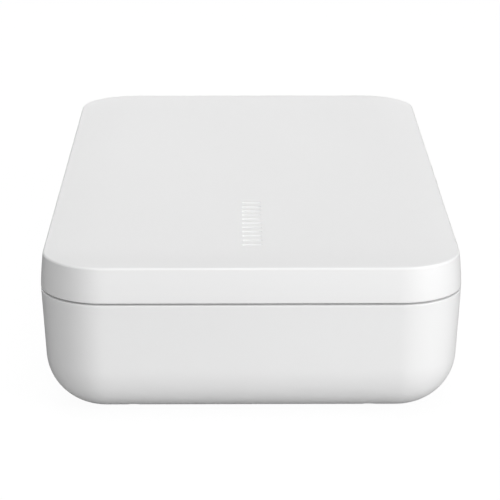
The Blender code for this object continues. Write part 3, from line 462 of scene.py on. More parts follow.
def turned_rings(profile, axis, centre, steps):
    """A (radius, height) profile turned about an axis: across it, radius times the cosine and sine
    of an angle that runs round once, and along it, the height."""
    profile = np.asarray(profile, float)
    axis = np.asarray(axis, float)
    helper = np.array([0.0, 0.0, 1.0]) if abs(axis[2]) < 0.5 else np.array([1.0, 0.0, 0.0])
    across = np.cross(helper, axis)
    across /= np.linalg.norm(across)
    other = np.cross(axis, across)
    turn = np.linspace(0, 2 * np.pi, steps, endpoint=False)
    circle = np.cos(turn)[:, None] * across + np.sin(turn)[:, None] * other
    return profile[:, 0][:, None, None] * circle + profile[:, 1][:, None, None] * axis + np.asarray(centre)


def arc(centre, radius, first, last, steps):
    """Points of an arc in a profile's plane between two angles in degrees."""
    turn = np.radians(np.linspace(first, last, steps + 1))
    return list(zip(centre[0] + radius * np.cos(turn), centre[1] + radius * np.sin(turn)))


def must_be_closed(mesh):
    """Stops the build unless every edge of the mesh is shared by exactly two faces."""
    used = np.zeros(len(mesh.loops), np.int32)
    mesh.loops.foreach_get("edge_index", used)
    if not len(used) or np.any(np.bincount(used, minlength=len(mesh.edges)) != 2):
        raise RuntimeError(f"{mesh.name} came out open or empty")


def carve(target, helpers, operation="DIFFERENCE"):
    """Cuts or joins closed helpers in order, writes the result into the target and drops them."""
    for helper in helpers:
        step = target.modifiers.new(helper.name, "BOOLEAN")
        step.operation = operation
        step.solver = "EXACT"
        step.object = helper
    graph = bpy.context.evaluated_depsgraph_get()
    result = bpy.data.meshes.new_from_object(target.evaluated_get(graph))
    must_be_closed(result)
    target.modifiers.clear()
    target.data = result
    for helper in helpers:
        bpy.data.objects.remove(helper, do_unlink=True)
    result.shade_smooth()
    result.set_sharp_from_angle(angle=math.radians(30))


def plug(name, centre, axis, radius, start, end, steps=64):
    """A plain closed cylinder for a hole, from start to end along an axis from a centre."""
    return skin(name, turned_rings([(radius, start), (radius, end)], axis, centre, steps), None)


def slab(name, low, high):
    """A closed block for a cut, as two rectangular rings."""
    flat = np.array([(low[0], low[1]), (high[0], low[1]), (high[0], high[1]), (low[0], high[1])])
    rings = [np.column_stack([flat, np.full(4, z)]) for z in (low[2], high[2])]
    return skin(name, np.array(rings), None)


def settle(piece, body, slot, *nodes):
    """The piece rides on a body and stands for CAD nodes, which it hides; the slot is not used."""
    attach(piece, body)
    if nodes:
        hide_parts(*nodes)
    return piece


def dress(node, material):
    """A CAD node whose shape is right keeps it and takes a finer material."""
    mesh = frame["nodes"][node].data
    mesh.materials.clear()
    mesh.materials.append(material)


SHELL_STEPS = 40
LEAST_CORNER = 2 * MM
BELLY_STEPS = 36
SEAT = 0.3 * MM
OVERRUN = 2 * MM
BUTTON_RADIUS = 5 * MM
LIGHT_RADIUS = 1 * MM
SCREW_WELL_OVER_HEAD = 1.3 * MM
CUP_WALL = 1 * MM
KNUCKLE_LENGTH = 9 * MM
KNUCKLE_GAP = 0.3 * MM
KNUCKLE_RADIUS = 2.0 * MM
HINGE_OFFSET = middle("hinge_pin_right")[0]
GUSSET = 6 * MM
HEEL_REACH = 3.4 * MM
HEEL_DEGREES = 13
HEEL_DROP = 3.0 * MM
HINGE_BACKING = 1.6 * MM


def knuckle_spans(centre):
    """X ranges of the three knuckles of one hinge: base, lid, base."""
    step = KNUCKLE_LENGTH + KNUCKLE_GAP
    start = centre - step - KNUCKLE_LENGTH / 2
    return [(start + number * step, start + number * step + KNUCKLE_LENGTH) for number in range(3)]


def knuckle_outline(up):
    """A knuckle's (y, z) section: a round barrel on the hinge axis and a gusset to its wall, with a
    stop heel below it on the base."""
    wall = shell_sizes().wall
    end = SEAM_Z + up * GUSSET
    centre = (HINGE_Y, SEAM_Z)
    points = [(HINGE_Y - wall / 2, end), (HINGE_Y - wall / 4, end)]
    if up > 0:
        points.reverse()
        return points + arc(centre, KNUCKLE_RADIUS, -180, 0, 32)
    heel = arc(centre, HEEL_REACH, -HEEL_DEGREES, -HEEL_DEGREES, 0)[0]
    soft = arc((heel[0] - SEAT, heel[1] - SEAT), SEAT, -20, 80, 6)
    root = arc(centre, KNUCKLE_RADIUS, -HEEL_DEGREES, -HEEL_DEGREES, 0)
    return points + [(heel[0], heel[1] - HEEL_DROP)] + soft + root + arc(centre, KNUCKLE_RADIUS, 0, 180, 32)


def bar_rings(outline, start, end):
    """A (y, z) outline carried along X from start to end, its two ends drawn in by a small chamfer."""
    flat = np.asarray(outline)
    core = flat.mean(axis=0)
    chamfer = 0.15 * MM
    size = np.abs(flat - core).max()
    rings = []
    for x, share in ((start, 1 - chamfer / size), (start + chamfer, 1), (end - chamfer, 1),
                     (end, 1 - chamfer / size)):
        section = core + (flat - core) * share
        rings.append(np.column_stack([np.full(len(flat), x), section]))
    return np.array(rings)


def finish_hinge_side(shell, up):
    """Backing blocks, pockets, knuckles and pin bores of both hinges, on the lid (up 1) or base."""
    wall = shell_sizes().wall
    rim = SEAM_Z + up * shell_sizes().seam / 2
    far = rim + up * GUSSET
    blocks, pockets, knuckles, bores = [], [], [], []
    for side in (-1, 1):
        spans = knuckle_spans(side * HINGE_OFFSET)
        start, end = spans[0][0], spans[2][1]
        low = (start - HINGE_BACKING, HINGE_Y - wall - HINGE_BACKING, min(rim, far))
        high = (end + HINGE_BACKING, HINGE_Y - wall / 2 - shell_sizes().lean, max(rim, far))
        blocks.append(slab(f"backing_{side}", low, high))
        along, axis = (0, HINGE_Y, SEAM_Z), (1, 0, 0)
        pocket = KNUCKLE_RADIUS + SEAT
        pockets.append(plug(f"pocket_{side}", along, axis, pocket, start - KNUCKLE_GAP, end + KNUCKLE_GAP))
        for first, last in [spans[1]] if up > 0 else [spans[0], spans[2]]:
            knuckles.append(skin(f"knuckle_{side}", bar_rings(knuckle_outline(up), first, last), None))
        bore = span("hinge_pin_left", 1) / 2 + SEAT
        ends = (start - KNUCKLE_GAP / 2, end + KNUCKLE_GAP / 2)
        bores.append(plug(f"bore_{side}", along, axis, bore, *ends, steps=32))
    carve(shell, blocks, "UNION")
    carve(shell, pockets)
    carve(shell, knuckles, "UNION")
    carve(shell, bores)


def belly_inset():
    """How far inside the outline the bottom fillet meets the flat underside."""
    sizes = shell_sizes()
    rim = SEAM_Z - sizes.seam / 2
    return (rim - sizes.belly) * math.tan(sizes.draft) + sizes.belly / math.cos(sizes.draft)


def base_profile():
    """The base's section from the middle of its underside, out and up to the rim, then down its
    inner wall: a big arc into a drafted wall, and an edge round at the seam."""
    sizes = shell_sizes()
    rim = SEAM_Z - sizes.seam / 2
    inset = belly_inset()
    slope = math.tan(sizes.draft)
    last = 90 - math.degrees(sizes.draft)
    outer = [(inset - sizes.belly * math.sin(math.radians(turn)),
              sizes.belly * (1 - math.cos(math.radians(turn))))
             for turn in np.linspace(0, last, BELLY_STEPS + 1)]
    wall_foot = outer[-1][1]
    for share in (0.02, 0.5, 0.98):
        z = wall_foot + (rim - sizes.edge - wall_foot) * share
        outer.append(((rim - z) * slope, z))
    edge = [(sizes.edge - x, rim - sizes.edge + z) for x, z in arc((0, 0), sizes.edge, 0, 90, 6)]
    small = sizes.belly - sizes.wall
    inner = [(sizes.wall, rim), (sizes.wall, rim - 2 * sizes.edge)]
    inner += [(inset - small * math.sin(math.radians(turn)),
               sizes.belly - small * math.cos(math.radians(turn)))
              for turn in np.linspace(last, 0, 12)]
    return outer + edge + inner


class CLEANBOX_OT_base_shell(bpy.types.Operator):
    """Moulds the base shell with its holes, foot seats and hinge side"""

    bl_idname = "cleanbox.base_shell"
    bl_label = "Base shell"

    def execute(self, context):
        sizes = shell_sizes()
        rings = shell_rings(base_profile())
        shell = skin("base_shell_moulding", rings, finish(spark_textured_abs))
        finish_hinge_side(shell, -1)
        down = (0, 0, 1)
        holes = []
        for mark in MARKS:
            x, y, _ = middle(f"foot_{mark}")
            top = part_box(f"foot_{mark}")[1][2] + SEAT
            recess = span(f"foot_{mark}", 0) / 2 + SEAT
            holes.append(plug(f"foot_seat_{mark}", (x, y, 0), down, recess, -OVERRUN, top))
            x, y, _ = middle(f"case_screw_{mark}")
            well = span(f"case_screw_{mark}", 0) / 2 + SEAT
            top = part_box(f"case_screw_{mark}")[0][2] + SCREW_WELL_OVER_HEAD
            holes.append(plug(f"screw_well_{mark}", (x, y, 0), down, well, -OVERRUN, top))
        front = (0, 1, 0)
        x, _, z = middle("power_button")
        hole = BUTTON_RADIUS + SEAT
        through = sizes.wall + OVERRUN
        holes.append(plug("button_hole", (x, -sizes.width / 2, z), front, hole, -OVERRUN, through))
        x, _, z = middle("indicator_light")
        hole = LIGHT_RADIUS + SEAT
        holes.append(plug("light_hole", (x, -sizes.width / 2, z), front, hole, -OVERRUN, through))
        rear = sizes.width / 2
        holes.append(socket_bar("socket_hole", SEAT, rear - sizes.wall - OVERRUN, rear + OVERRUN, None))
        carve(shell, holes)
        settle(shell, "base", "white_shell", "base_shell")
        return {"FINISHED"}


def socket_bar(name, growth, start, end, material):
    """The charging socket's round-ended section carried along Y, larger by the growth."""
    low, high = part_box("usb_c_port")
    radius = (high[2] - low[2]) / 2
    reach = (high[0] - low[0]) / 2 - radius
    z = (low[2] + high[2]) / 2
    outline = arc((reach, z), radius + growth, 90, -90, 20) + arc((-reach, z), radius + growth, 270, 90, 20)
    flat = np.asarray(outline)
    rings = [np.column_stack([flat[:, 0], np.full(len(flat), y), flat[:, 1]]) for y in (start, end)]
    return skin(name, np.array(rings), material)


def lid_profile():
    """The lid's section from the middle of its ceiling, down its inner wall, round the seam edge, up
    a side that leans in as height to the power 1.5, round the rim and over a roll that rises as one
    less the square of what is left of its width."""
    sizes = shell_sizes()
    rim = SEAM_Z + sizes.seam / 2
    side_top = sizes.height - sizes.drop - sizes.rim
    ceiling = sizes.height - sizes.drop - sizes.wall
    soft = 2 * MM
    inner = [(sizes.wall + sizes.lean + soft - x, ceiling - soft + z) for x, z in arc((0, 0), soft, 90, 0, 8)]
    inner += [(sizes.wall, rim + 2 * sizes.edge), (sizes.wall, rim)]
    edge = [(sizes.edge - x, rim + sizes.edge + z) for x, z in arc((0, 0), sizes.edge, -90, 0, 6)]
    start = edge[-1][1]
    side = []
    for share in np.linspace(0.04, 1, 16):
        side.append((sizes.lean * share**1.5, start + (side_top - start) * share))
    lean = math.degrees(math.atan(1.5 * sizes.lean / (side_top - start)))
    top = [(sizes.lean + sizes.rim - x, side_top + z) for x, z in arc((0, 0), sizes.rim, lean, 85, 14)]
    reach = sizes.lean + sizes.rim
    roll = []
    for share in np.linspace(0, 1, 33)[1:]:
        roll.append((reach + sizes.roll * share, sizes.height - sizes.drop * (1 - share) ** 2))
    return inner + edge + side + top + roll


MARK_COUNT = 11
MARK_START = 45 * MM
MARK_PITCH = 4.7 * MM
MARK_LENGTH = 6.4 * MM
MARK_WIDTH = 1.5 * MM
MARK_DEPTH = 0.32 * MM
MARK_Y = 0.45 * MM
SCOOP_REACH = 10 * MM
SCOOP_DEPTH = 0.4 * MM
SCOOP_BELOW_TOP = 3.5 * MM


def mark_cutters(height):
    """A plain row of round-ended grooves across the lid's near half: each is a stadium outline whose
    sides slope in towards its floor."""
    made = []
    for number in range(MARK_COUNT):
        x = MARK_START + number * MARK_PITCH
        rings = []
        for depth, width in ((-MARK_DEPTH, MARK_WIDTH * 0.8), (MARK_DEPTH, MARK_WIDTH * 1.2)):
            half = (MARK_LENGTH - MARK_WIDTH) / 2
            flat = arc((x, MARK_Y + half), width / 2, 0, 180, 10)
            flat += arc((x, MARK_Y - half), width / 2, 180, 360, 10)
            flat = np.asarray(flat)
            rings.append(np.column_stack([flat, np.full(len(flat), height + depth)]))
        made.append(skin(f"groove_{number}", np.array(rings), None))
    return made


class CLEANBOX_OT_lid_shell(bpy.types.Operator):
    """Moulds the lid shell with its soft roll, thumb scoop, grooves and hinge side"""

    bl_idname = "cleanbox.lid_shell"
    bl_label = "Lid shell"

    def execute(self, context):
        sizes = shell_sizes()
        rings = shell_rings(lid_profile())
        shell = skin("lid_shell_moulding", rings, finish(spark_textured_abs))
        finish_hinge_side(shell, 1)
        width, depth = SCOOP_REACH, SCOOP_DEPTH
        radius = (width**2 / 4 + depth**2) / (2 * depth)
        z = sizes.height - SCOOP_BELOW_TOP
        x = middle("power_button")[0]
        centre = (x, -sizes.width / 2 + 0.6 * sizes.lean + depth - radius, z)
        turn = np.linspace(0.5, math.degrees(math.asin(width / radius)), 12)
        cap = [(radius * math.sin(math.radians(t)), radius * math.cos(math.radians(t))) for t in turn[::-1]]
        cap.insert(0, (cap[0][0], radius - 6 * MM))
        scoop = skin("scoop", turned_rings(cap, (0, 1, 0), centre, 96), None)
        carve(shell, [scoop])
        carve(shell, mark_cutters(sizes.height))
        settle(shell, "lid", "white_shell", "lid_shell")
        return {"FINISHED"}


BAY_CORNER = 9 * MM
BAY_TAPER = 1 * MM
BAY_FILLET = 3 * MM
BAY_HALF = (98 * MM, 48 * MM)
SHEET = 1.6 * MM
LIP_INSET = 4.6 * MM
LIP_WIDTH = 1.2 * MM
LIP_HEIGHT = 1.3 * MM
MOUTH_ROUND = 0.8 * MM
WINDOW_CORNER = 3 * MM
BAY_STEPS = 20
TRAY_INSET = 2.7 * MM
LINER_INSET = 6.8 * MM
RIB_WIDTH = 1.6 * MM
RIB_HEIGHT = 1.2 * MM
RIB_HALF_LENGTH = 14.5 * MM
RIB_PITCH = 20 * MM
RIB_ROW = 28.5 * MM
LAMP_CAP = 5 * MM
SOCKET_DEPTH = 6.2 * MM
TONGUE_HALF_WIDTH = 3.2 * MM
TONGUE_HALF_HEIGHT = 0.35 * MM


def bay_ring(growth, z):
    """The bay's outline, larger by the growth, at a height."""
    flat = rounded_outline(BAY_HALF[0] + growth, BAY_HALF[1] + growth, BAY_CORNER + growth, BAY_STEPS)
    return np.column_stack([flat, np.full(len(flat), z)])


def box_ring(inset, z):
    """The outer outline, drawn in by the inset, at a height."""
    sizes = shell_sizes()
    flat = rounded_outline(sizes.length / 2 - inset, sizes.width / 2 - inset, sizes.corner - inset, BAY_STEPS)
    return np.column_stack([flat, np.full(len(flat), z)])


def window_cutters(label, window, away):
    """The seat and the slot of a lamp window, from the window's own box."""
    low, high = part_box(window)
    half_x, half_y = (high[0] - low[0]) / 2, (high[1] - low[1]) / 2
    face = high[2] if away < 0 else low[2]
    made = []
    for name, margin, depth in (("seat", SEAT, high[2] - low[2] + SEAT), ("slot", -2 * MM, SHEET + OVERRUN)):
        flat = rounded_outline(half_x + margin, half_y + margin, WINDOW_CORNER, 12)
        ends = sorted((face - away * OVERRUN, face + away * depth))
        rings = [np.column_stack([flat, np.full(len(flat), z)]) for z in ends]
        made.append(skin(f"{name}_{label}", np.array(rings), None))
    return made


class CLEANBOX_OT_tray(bpy.types.Operator):
    """Moulds the bay tray with its lip, rest ribs, magnet pockets and window seat"""

    bl_idname = "cleanbox.tray"
    bl_label = "Bay tray"

    def execute(self, context):
        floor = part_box("base_window")[1][2]
        top = SEAM_Z - shell_sizes().seam / 2
        under = top - SHEET
        edge = TRAY_INSET + SHEET * math.tan(shell_sizes().draft)
        turns = np.radians(np.linspace(0, 90, 10))
        rings = []
        for turn in turns:
            growth = SHEET - BAY_TAPER - BAY_FILLET * (1 - math.sin(turn))
            rings.append(bay_ring(growth, floor - SHEET + BAY_FILLET * (1 - math.cos(turn))))
        rings.append(bay_ring(SHEET, under))
        rings += [box_ring(edge, under), box_ring(edge, top - 0.3 * MM), box_ring(edge + 0.3 * MM, top)]
        soft = LIP_WIDTH / 4
        rings += [box_ring(LIP_INSET, top), box_ring(LIP_INSET, top + LIP_HEIGHT - soft)]
        crest, back = top + LIP_HEIGHT, LIP_INSET + LIP_WIDTH
        rings += [box_ring(LIP_INSET + soft, crest), box_ring(back - soft, crest)]
        rings += [box_ring(back, crest - soft), box_ring(back, top)]
        for x, z in arc((0, 0), MOUTH_ROUND, 90, 0, 6):
            rings.append(bay_ring(MOUTH_ROUND - x, top - MOUTH_ROUND + z))
        for turn in turns[::-1]:
            growth = -BAY_TAPER - BAY_FILLET * (1 - math.sin(turn))
            rings.append(bay_ring(growth, floor + BAY_FILLET * (1 - math.cos(turn))))
        tray = skin("base_tray_moulding", np.array(rings), finish(polished_abs))

        ribs = []
        for number in range(-4, 5):
            for side in (-1, 1):
                flat = rounded_outline(RIB_WIDTH / 2, RIB_HALF_LENGTH, RIB_WIDTH / 2 * 0.96, 6)
                flat = flat + np.array([number * RIB_PITCH, side * RIB_ROW])
                core = flat.mean(axis=0)
                ring_list = []
                crest = floor + RIB_HEIGHT
                for z, share in ((floor - SHEET / 2, 1), (floor + RIB_HEIGHT * 0.7, 1), (crest, 0.7)):
                    section = core + (flat - core) * np.array([share, 1 - (1 - share) * 0.05])
                    ring_list.append(np.column_stack([section, np.full(len(flat), z)]))
                ribs.append(skin(f"rib_{number}_{side}", np.array(ring_list), None))
        carve(tray, ribs, "UNION")
        cuts = window_cutters("tray", "base_window", -1)
        for word in SIDES:
            x, y, _ = middle(f"base_magnet_{word}")
            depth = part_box(f"base_magnet_{word}")[0][2] - SEAT
            radius = span(f"base_magnet_{word}", 0) / 2 + SEAT
            cuts.append(plug(f"magnet_seat_{word}", (x, y, 0), (0, 0, 1), radius, depth, top + OVERRUN))
            spans = knuckle_spans(HINGE_OFFSET * (1 if word == "right" else -1))
            spare = HINGE_BACKING + SEAT
            low = (spans[0][0] - spare, HINGE_Y - shell_sizes().wall - spare, under - OVERRUN)
            high = (spans[2][1] + spare, HINGE_Y + OVERRUN, top + OVERRUN)
            cuts.append(slab(f"hinge_notch_{word}", low, high))
        cups = []
        for word in SIDES:
            x, y, _ = middle(f"base_magnet_{word}")
            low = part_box(f"base_magnet_{word}")[0][2] - SEAT - CUP_WALL
            radius = span(f"base_magnet_{word}", 0) / 2 + SEAT + CUP_WALL
            cups.append(plug(f"magnet_cup_{word}", (x, y, 0), (0, 0, 1), radius, low, top - SHEET / 2))
        carve(tray, cups, "UNION")
        carve(tray, cuts)
        settle(tray, "base", "white_inner", "base_tray")
        return {"FINISHED"}


class CLEANBOX_OT_liner(bpy.types.Operator):
    """Moulds the lid's liner with its window seat, magnet pockets and screw wells"""

    bl_idname = "cleanbox.liner"
    bl_label = "Lid liner"

    def execute(self, context):
        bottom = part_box("lid_liner")[0][2]
        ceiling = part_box("lid_window")[0][2]
        inset = LINER_INSET
        soft = 0.3 * MM
        mouth = 0.5 * MM
        rings = [bay_ring(-BAY_TAPER - 1.5 * MM, ceiling)]
        rings.append(bay_ring(-BAY_TAPER - 0.4 * MM, ceiling - 0.4 * MM))
        rings += [bay_ring(-BAY_TAPER, ceiling - 1.2 * MM), bay_ring(mouth - soft, bottom + 2 * soft)]
        rings += [bay_ring(mouth, bottom + soft / 2), bay_ring(mouth + soft, bottom)]
        rings += [box_ring(inset + soft, bottom), box_ring(inset, bottom + soft)]
        rings.append(box_ring(inset, bottom + SHEET))
        rings += [bay_ring(SHEET + mouth, bottom + SHEET), bay_ring(SHEET - BAY_TAPER, ceiling + SHEET)]
        liner = skin("lid_liner_moulding", np.array(rings), finish(polished_abs))
        cuts = window_cutters("liner", "lid_window", 1)
        cups = []
        for word in SIDES:
            x, y, _ = middle(f"lid_magnet_{word}")
            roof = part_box(f"lid_magnet_{word}")[1][2] + SEAT
            radius = span(f"lid_magnet_{word}", 0) / 2 + SEAT
            start, end = bottom + SHEET / 2, roof + CUP_WALL
            cups.append(plug(f"lid_cup_{word}", (x, y, 0), (0, 0, 1), radius + CUP_WALL, start, end))
            cuts.append(plug(f"lid_seat_{word}", (x, y, 0), (0, 0, 1), radius, bottom - OVERRUN, roof))
        for mark in MARKS:
            x, y, _ = middle(f"liner_screw_{mark}")
            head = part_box(f"liner_screw_{mark}")[0][2]
            well = span(f"liner_screw_{mark}", 0) / 2 + SEAT
            top = head + SCREW_WELL_OVER_HEAD
            cuts.append(plug(f"well_{mark}", (x, y, 0), (0, 0, 1), well, bottom - OVERRUN, top))
        carve(liner, cups, "UNION")
        carve(liner, cuts)
        settle(liner, "lid", "white_inner", "lid_liner")
        return {"FINISHED"}


def lamp_tube(name, node, body):
    """A lamp: a glass tube with pinched round ends, a metal cap at each end and a coiled electrode."""
    low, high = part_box(node)
    centre = middle(node)
    radius, half = (high[2] - low[2]) / 2, (high[0] - low[0]) / 2
    cap = LAMP_CAP
    bead = radius * 0.97
    profile = [(0.3 * MM, -half + cap * 0.5)]
    profile += [(bead, -half + cap * 0.9), (bead, half - cap * 0.9), (0.3 * MM, half - cap * 0.5)]
    tube = skin(f"{name}_tube", turned_rings(profile, (1, 0, 0), centre, 40), finish(lamp_glass))
    settle(tube, body, "lamp_glass", node)
    for side, word in ((-1, "left"), (1, "right")):
        profile = [(0.9, 0), (1, 0.06), (1, 0.92), (0.97, 0.97), (0.8, 1)]
        profile = [(radius * r, side * (half - cap * h)) for r, h in profile]
        if side > 0:
            profile.reverse()
        rings = turned_rings(profile, (1, 0, 0), centre, 40)
        piece = skin(f"{name}_cap_{word}", rings, finish(drawn_stainless_steel))
        settle(piece, body, "fastener_steel", node)
        settle(electrode(f"{name}_electrode_{word}", centre, side * (half - cap - 4 * MM)), body,
               "fastener_steel", node)


def electrode(name, centre, x):
    """A short wound wire inside the lamp: a circle carried along a helix about the lamp's axis."""
    turns, around, wire, coil = 9, 12, 0.11 * MM, 0.55 * MM
    length = 5 * MM
    share = np.linspace(0, 1, turns * 14)
    angle = 2 * np.pi * turns * share
    path = np.stack([x + (share - 0.5) * length, coil * np.cos(angle), coil * np.sin(angle)], axis=1)
    path += np.array([0, centre[1], centre[2]])
    along = np.gradient(path, axis=0)
    along /= np.linalg.norm(along, axis=1)[:, None]
    across = np.stack([np.zeros_like(angle), np.cos(angle), np.sin(angle)], axis=1)
    other = np.cross(along, across)
    turn = np.linspace(0, 2 * np.pi, around, endpoint=False)
    round_wire = np.cos(turn)[:, None] * across[:, None] + np.sin(turn)[:, None] * other[:, None]
    rings = path[:, None] + wire * round_wire
    return skin(name, rings[:, ::-1], finish(drawn_stainless_steel), sharp=60)


def window_plate(name, node, body):
    """A clear plate with ground edges: a rounded outline drawn in a little at both faces."""
    low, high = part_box(node)
    ground = 0.2 * MM
    rings = []
    for z, inset in ((low[2], ground), (low[2] + ground, 0), (high[2] - ground, 0), (high[2], ground)):
        half_x, half_y = (high[0] - low[0]) / 2, (high[1] - low[1]) / 2
        flat = rounded_outline(half_x - inset, half_y - inset, WINDOW_CORNER, 12)
        rings.append(np.column_stack([flat, np.full(len(flat), z)]))
    return settle(skin(name, np.array(rings), finish(fused_quartz)), body, "quartz_glass", node)


class CLEANBOX_OT_lamps(bpy.types.Operator):
    """Makes both lamp sets: windows, tubes, holders and reflectors"""

    bl_idname = "cleanbox.lamps"
    bl_label = "Lamp sets"

    def execute(self, context):
        for body in ("base", "lid"):
            window_plate(f"{body}_window_plate", f"{body}_window", body)
            lamp_tube(f"{body}_lamp", f"{body}_lamp", body)
            dress(f"{body}_reflector", finish(rolled_aluminium))
            for word in SIDES:
                dress(f"{body}_lamp_holder_{word}", finish(fired_ceramic))
        return {"FINISHED"}


class CLEANBOX_OT_button(bpy.types.Operator):
    """Turns the power button and its indicator light"""

    bl_idname = "cleanbox.button"
    bl_label = "Button and light"

    def execute(self, context):
        low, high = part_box("power_button")
        x, _, z = middle("power_button")
        face = low[1]
        length = high[1] - low[1]
        radius, soft = BUTTON_RADIUS, 0.5 * MM
        dish = [(0.05 * MM, 0.28 * MM), (1.5 * MM, 0.25 * MM), (3 * MM, 0.14 * MM), (4 * MM, 0.03 * MM)]
        edge = [(radius - soft + a, soft - b) for a, b in arc((0, 0), soft, 90, 0, 8)]
        flange = radius + 1.1 * MM
        back = length - 2.9 * MM
        profile = dish + edge + [(radius, back - 1 * MM), (flange, back - 1 * MM), (flange, back)]
        profile += [(1.6 * MM, back), (1.6 * MM, length)]
        rings = turned_rings(profile, (0, 1, 0), (x, face, z), 96)
        cap = skin("power_button_cap", rings, finish(spark_textured_abs))
        settle(cap, "power_button", "white_shell", "power_button")

        low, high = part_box("indicator_light")
        x, _, z = middle("indicator_light")
        face = low[1]
        profile = [(0.3 * MM, 0.02 * MM), (0.8 * MM, 0.1 * MM)]
        profile += [(LIGHT_RADIUS, 0.3 * MM), (LIGHT_RADIUS, 3 * MM)]
        profile += [(1.6 * MM, 3 * MM), (1.6 * MM, high[1] - face)]
        rings = turned_rings(profile, (0, 1, 0), (x, face, z), 48)
        guide = skin("indicator_light_guide", rings, finish(clear_acrylic))
        settle(guide, "base", "clear_light", "indicator_light")
        return {"FINISHED"}


def screw_piece(name, node, body):
    """A pan-head screw seen from its head, with a cross recess: a turned profile less two wedges."""
    low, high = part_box(node)
    x, y, _ = middle(node)
    head = (high[0] - low[0]) / 2
    dome = [(head * math.sin(t), 0.55 * MM * (1 - math.cos(t))) for t in np.linspace(0.08, math.pi / 2, 10)]
    shank = 1.0 * MM
    length = high[2] - low[2]
    profile = dome + [(head, 1.0 * MM), (shank, 1.0 * MM), (shank, length - shank), (0.1 * MM, length)]
    piece = skin(name, turned_rings(profile, (0, 0, 1), (x, y, low[2]), 48), finish(zinc_plated_steel))
    blades = []
    for number, (wide, deep) in enumerate(((1.0 * MM, 0.18 * MM), (0.18 * MM, 1.0 * MM))):
        low_corner = (x - wide, y - deep, low[2] - OVERRUN)
        high_corner = (x + wide, y + deep, low[2] + 0.6 * MM)
        blades.append(slab(f"{name}_blade_{number}", low_corner, high_corner))
    carve(piece, blades)
    return settle(piece, body, "fastener_steel", node)


class CLEANBOX_OT_hardware(bpy.types.Operator):
    """Makes the feet, screws, magnets and hinge pins"""

    bl_idname = "cleanbox.hardware"
    bl_label = "Feet and fasteners"

    def execute(self, context):
        for mark in MARKS:
            low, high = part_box(f"foot_{mark}")
            x, y, _ = middle(f"foot_{mark}")
            radius = (high[0] - low[0]) / 2
            soft = 0.35 * MM
            edge = [(radius - soft + a, soft - b) for a, b in arc((0, 0), soft, 90, 0, 8)]
            profile = [(radius * 0.5, 0)] + edge + [(radius, high[2] - low[2])]
            rings = turned_rings(profile, (0, 0, 1), (x, y, low[2]), 64)
            foot = skin(f"foot_pad_{mark}", rings, finish(moulded_silicone))
            settle(foot, "base", "foot_rubber", f"foot_{mark}")
            screw_piece(f"case_screw_head_{mark}", f"case_screw_{mark}", "base")
            screw_piece(f"liner_screw_head_{mark}", f"liner_screw_{mark}", "lid")
        for body in ("base", "lid"):
            for word in SIDES:
                node = f"{body}_magnet_{word}"
                low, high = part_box(node)
                x, y, _ = middle(node)
                radius, height, soft = (high[0] - low[0]) / 2, high[2] - low[2], 0.2 * MM
                profile = [(radius - soft, 0), (radius, soft), (radius, height - soft)]
                profile.append((radius - soft, height))
                rings = turned_rings(profile, (0, 0, 1), (x, y, low[2]), 64)
                disc = skin(f"{node}_disc", rings, finish(nickel_plated_magnet))
                settle(disc, body, "magnet_nickel", node)
        for word in SIDES:
            node = f"hinge_pin_{word}"
            low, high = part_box(node)
            radius, length, soft = (high[2] - low[2]) / 2, high[0] - low[0], 0.25 * MM
            profile = [(radius - soft, 0), (radius, soft), (radius, length - soft), (radius - soft, length)]
            rings = turned_rings(profile, (1, 0, 0), (low[0], HINGE_Y, SEAM_Z), 32)
            settle(skin(f"{node}_rod", rings, finish(drawn_stainless_steel)), "base", "fastener_steel", node)
        return {"FINISHED"}


class CLEANBOX_OT_electronics(bpy.types.Operator):
    """Finishes the charging socket, both boards and what stands on them"""

    bl_idname = "cleanbox.electronics"
    bl_label = "Electronics"

    def execute(self, context):
        low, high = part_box("usb_c_port")
        shell = socket_bar("usb_c_port_shell", 0, low[1], high[1], finish(drawn_stainless_steel))
        mouth = socket_bar("usb_c_port_mouth", -0.3 * MM, high[1] - SOCKET_DEPTH, high[1] + OVERRUN, None)
        carve(shell, [mouth])
        settle(shell, "base", "port_steel", "usb_c_port")
        z = (low[2] + high[2]) / 2
        half = TONGUE_HALF_WIDTH
        rings = []
        mouth_y = high[1]
        for y, inset in ((mouth_y - SOCKET_DEPTH, 0), (mouth_y - 1.0 * MM, 0), (mouth_y - 0.7 * MM, 0.15 * MM)):
            flat = rounded_outline(half - inset, TONGUE_HALF_HEIGHT - inset, 0.12 * MM, 4)
            rings.append(np.column_stack([flat[:, 0], np.full(len(flat), y), z + flat[:, 1]]))
        tongue = skin("usb_c_port_tongue", np.array(rings)[:, ::-1], finish(moulded_nylon))
        settle(tongue, "base", "black_nylon", "usb_c_port")
        for node in ("main_board", "switch_board"):
            dress(node, finish(solder_masked_board))
        for node in ("button_switch", "lid_sensor"):
            dress(node, finish(moulded_nylon))
        dress("lamp_transformer", finish(wound_transformer))
        return {"FINISHED"}


CAMERA_PLACE = (0.743411, -0.004792, 0.245994)
CAMERA_YAW = math.radians(0.391)
CAMERA_PITCH = math.radians(16.959)
CAMERA_FOCAL_PIXELS = 2235.836
IMAGE_PIXELS = 500
SENSOR_MM = 36.0
STUDIO_FOCUS = (0.0, 0.0, 0.025)
SOFTBOXES = {
    "overhead": ((-0.05, -0.05, 1.3), (1.4, 1.4), 11.7),
    "near_end": ((1.6, -0.02, 0.28), (1.2, 1.2), 10.5),
    "hinge_side": ((0.85, 1.12, 0.42), (0.6, 0.6), 11.2),
    "far_end": ((-1.5, -0.42, 0.36), (1.8, 0.36), 4.6),
}
WORLD_LEVEL = 0.12
FLOOR_COLOUR = "CACACA"
# Painted darker reflection: the floor's colour as seen only in the box's glossy reflections, darker than its
# own colour.
FLOOR_PAINTED_REFLECTION = "404040"
FLOOR_VEIL = 0.88
FLOOR_WHITE = 1.08


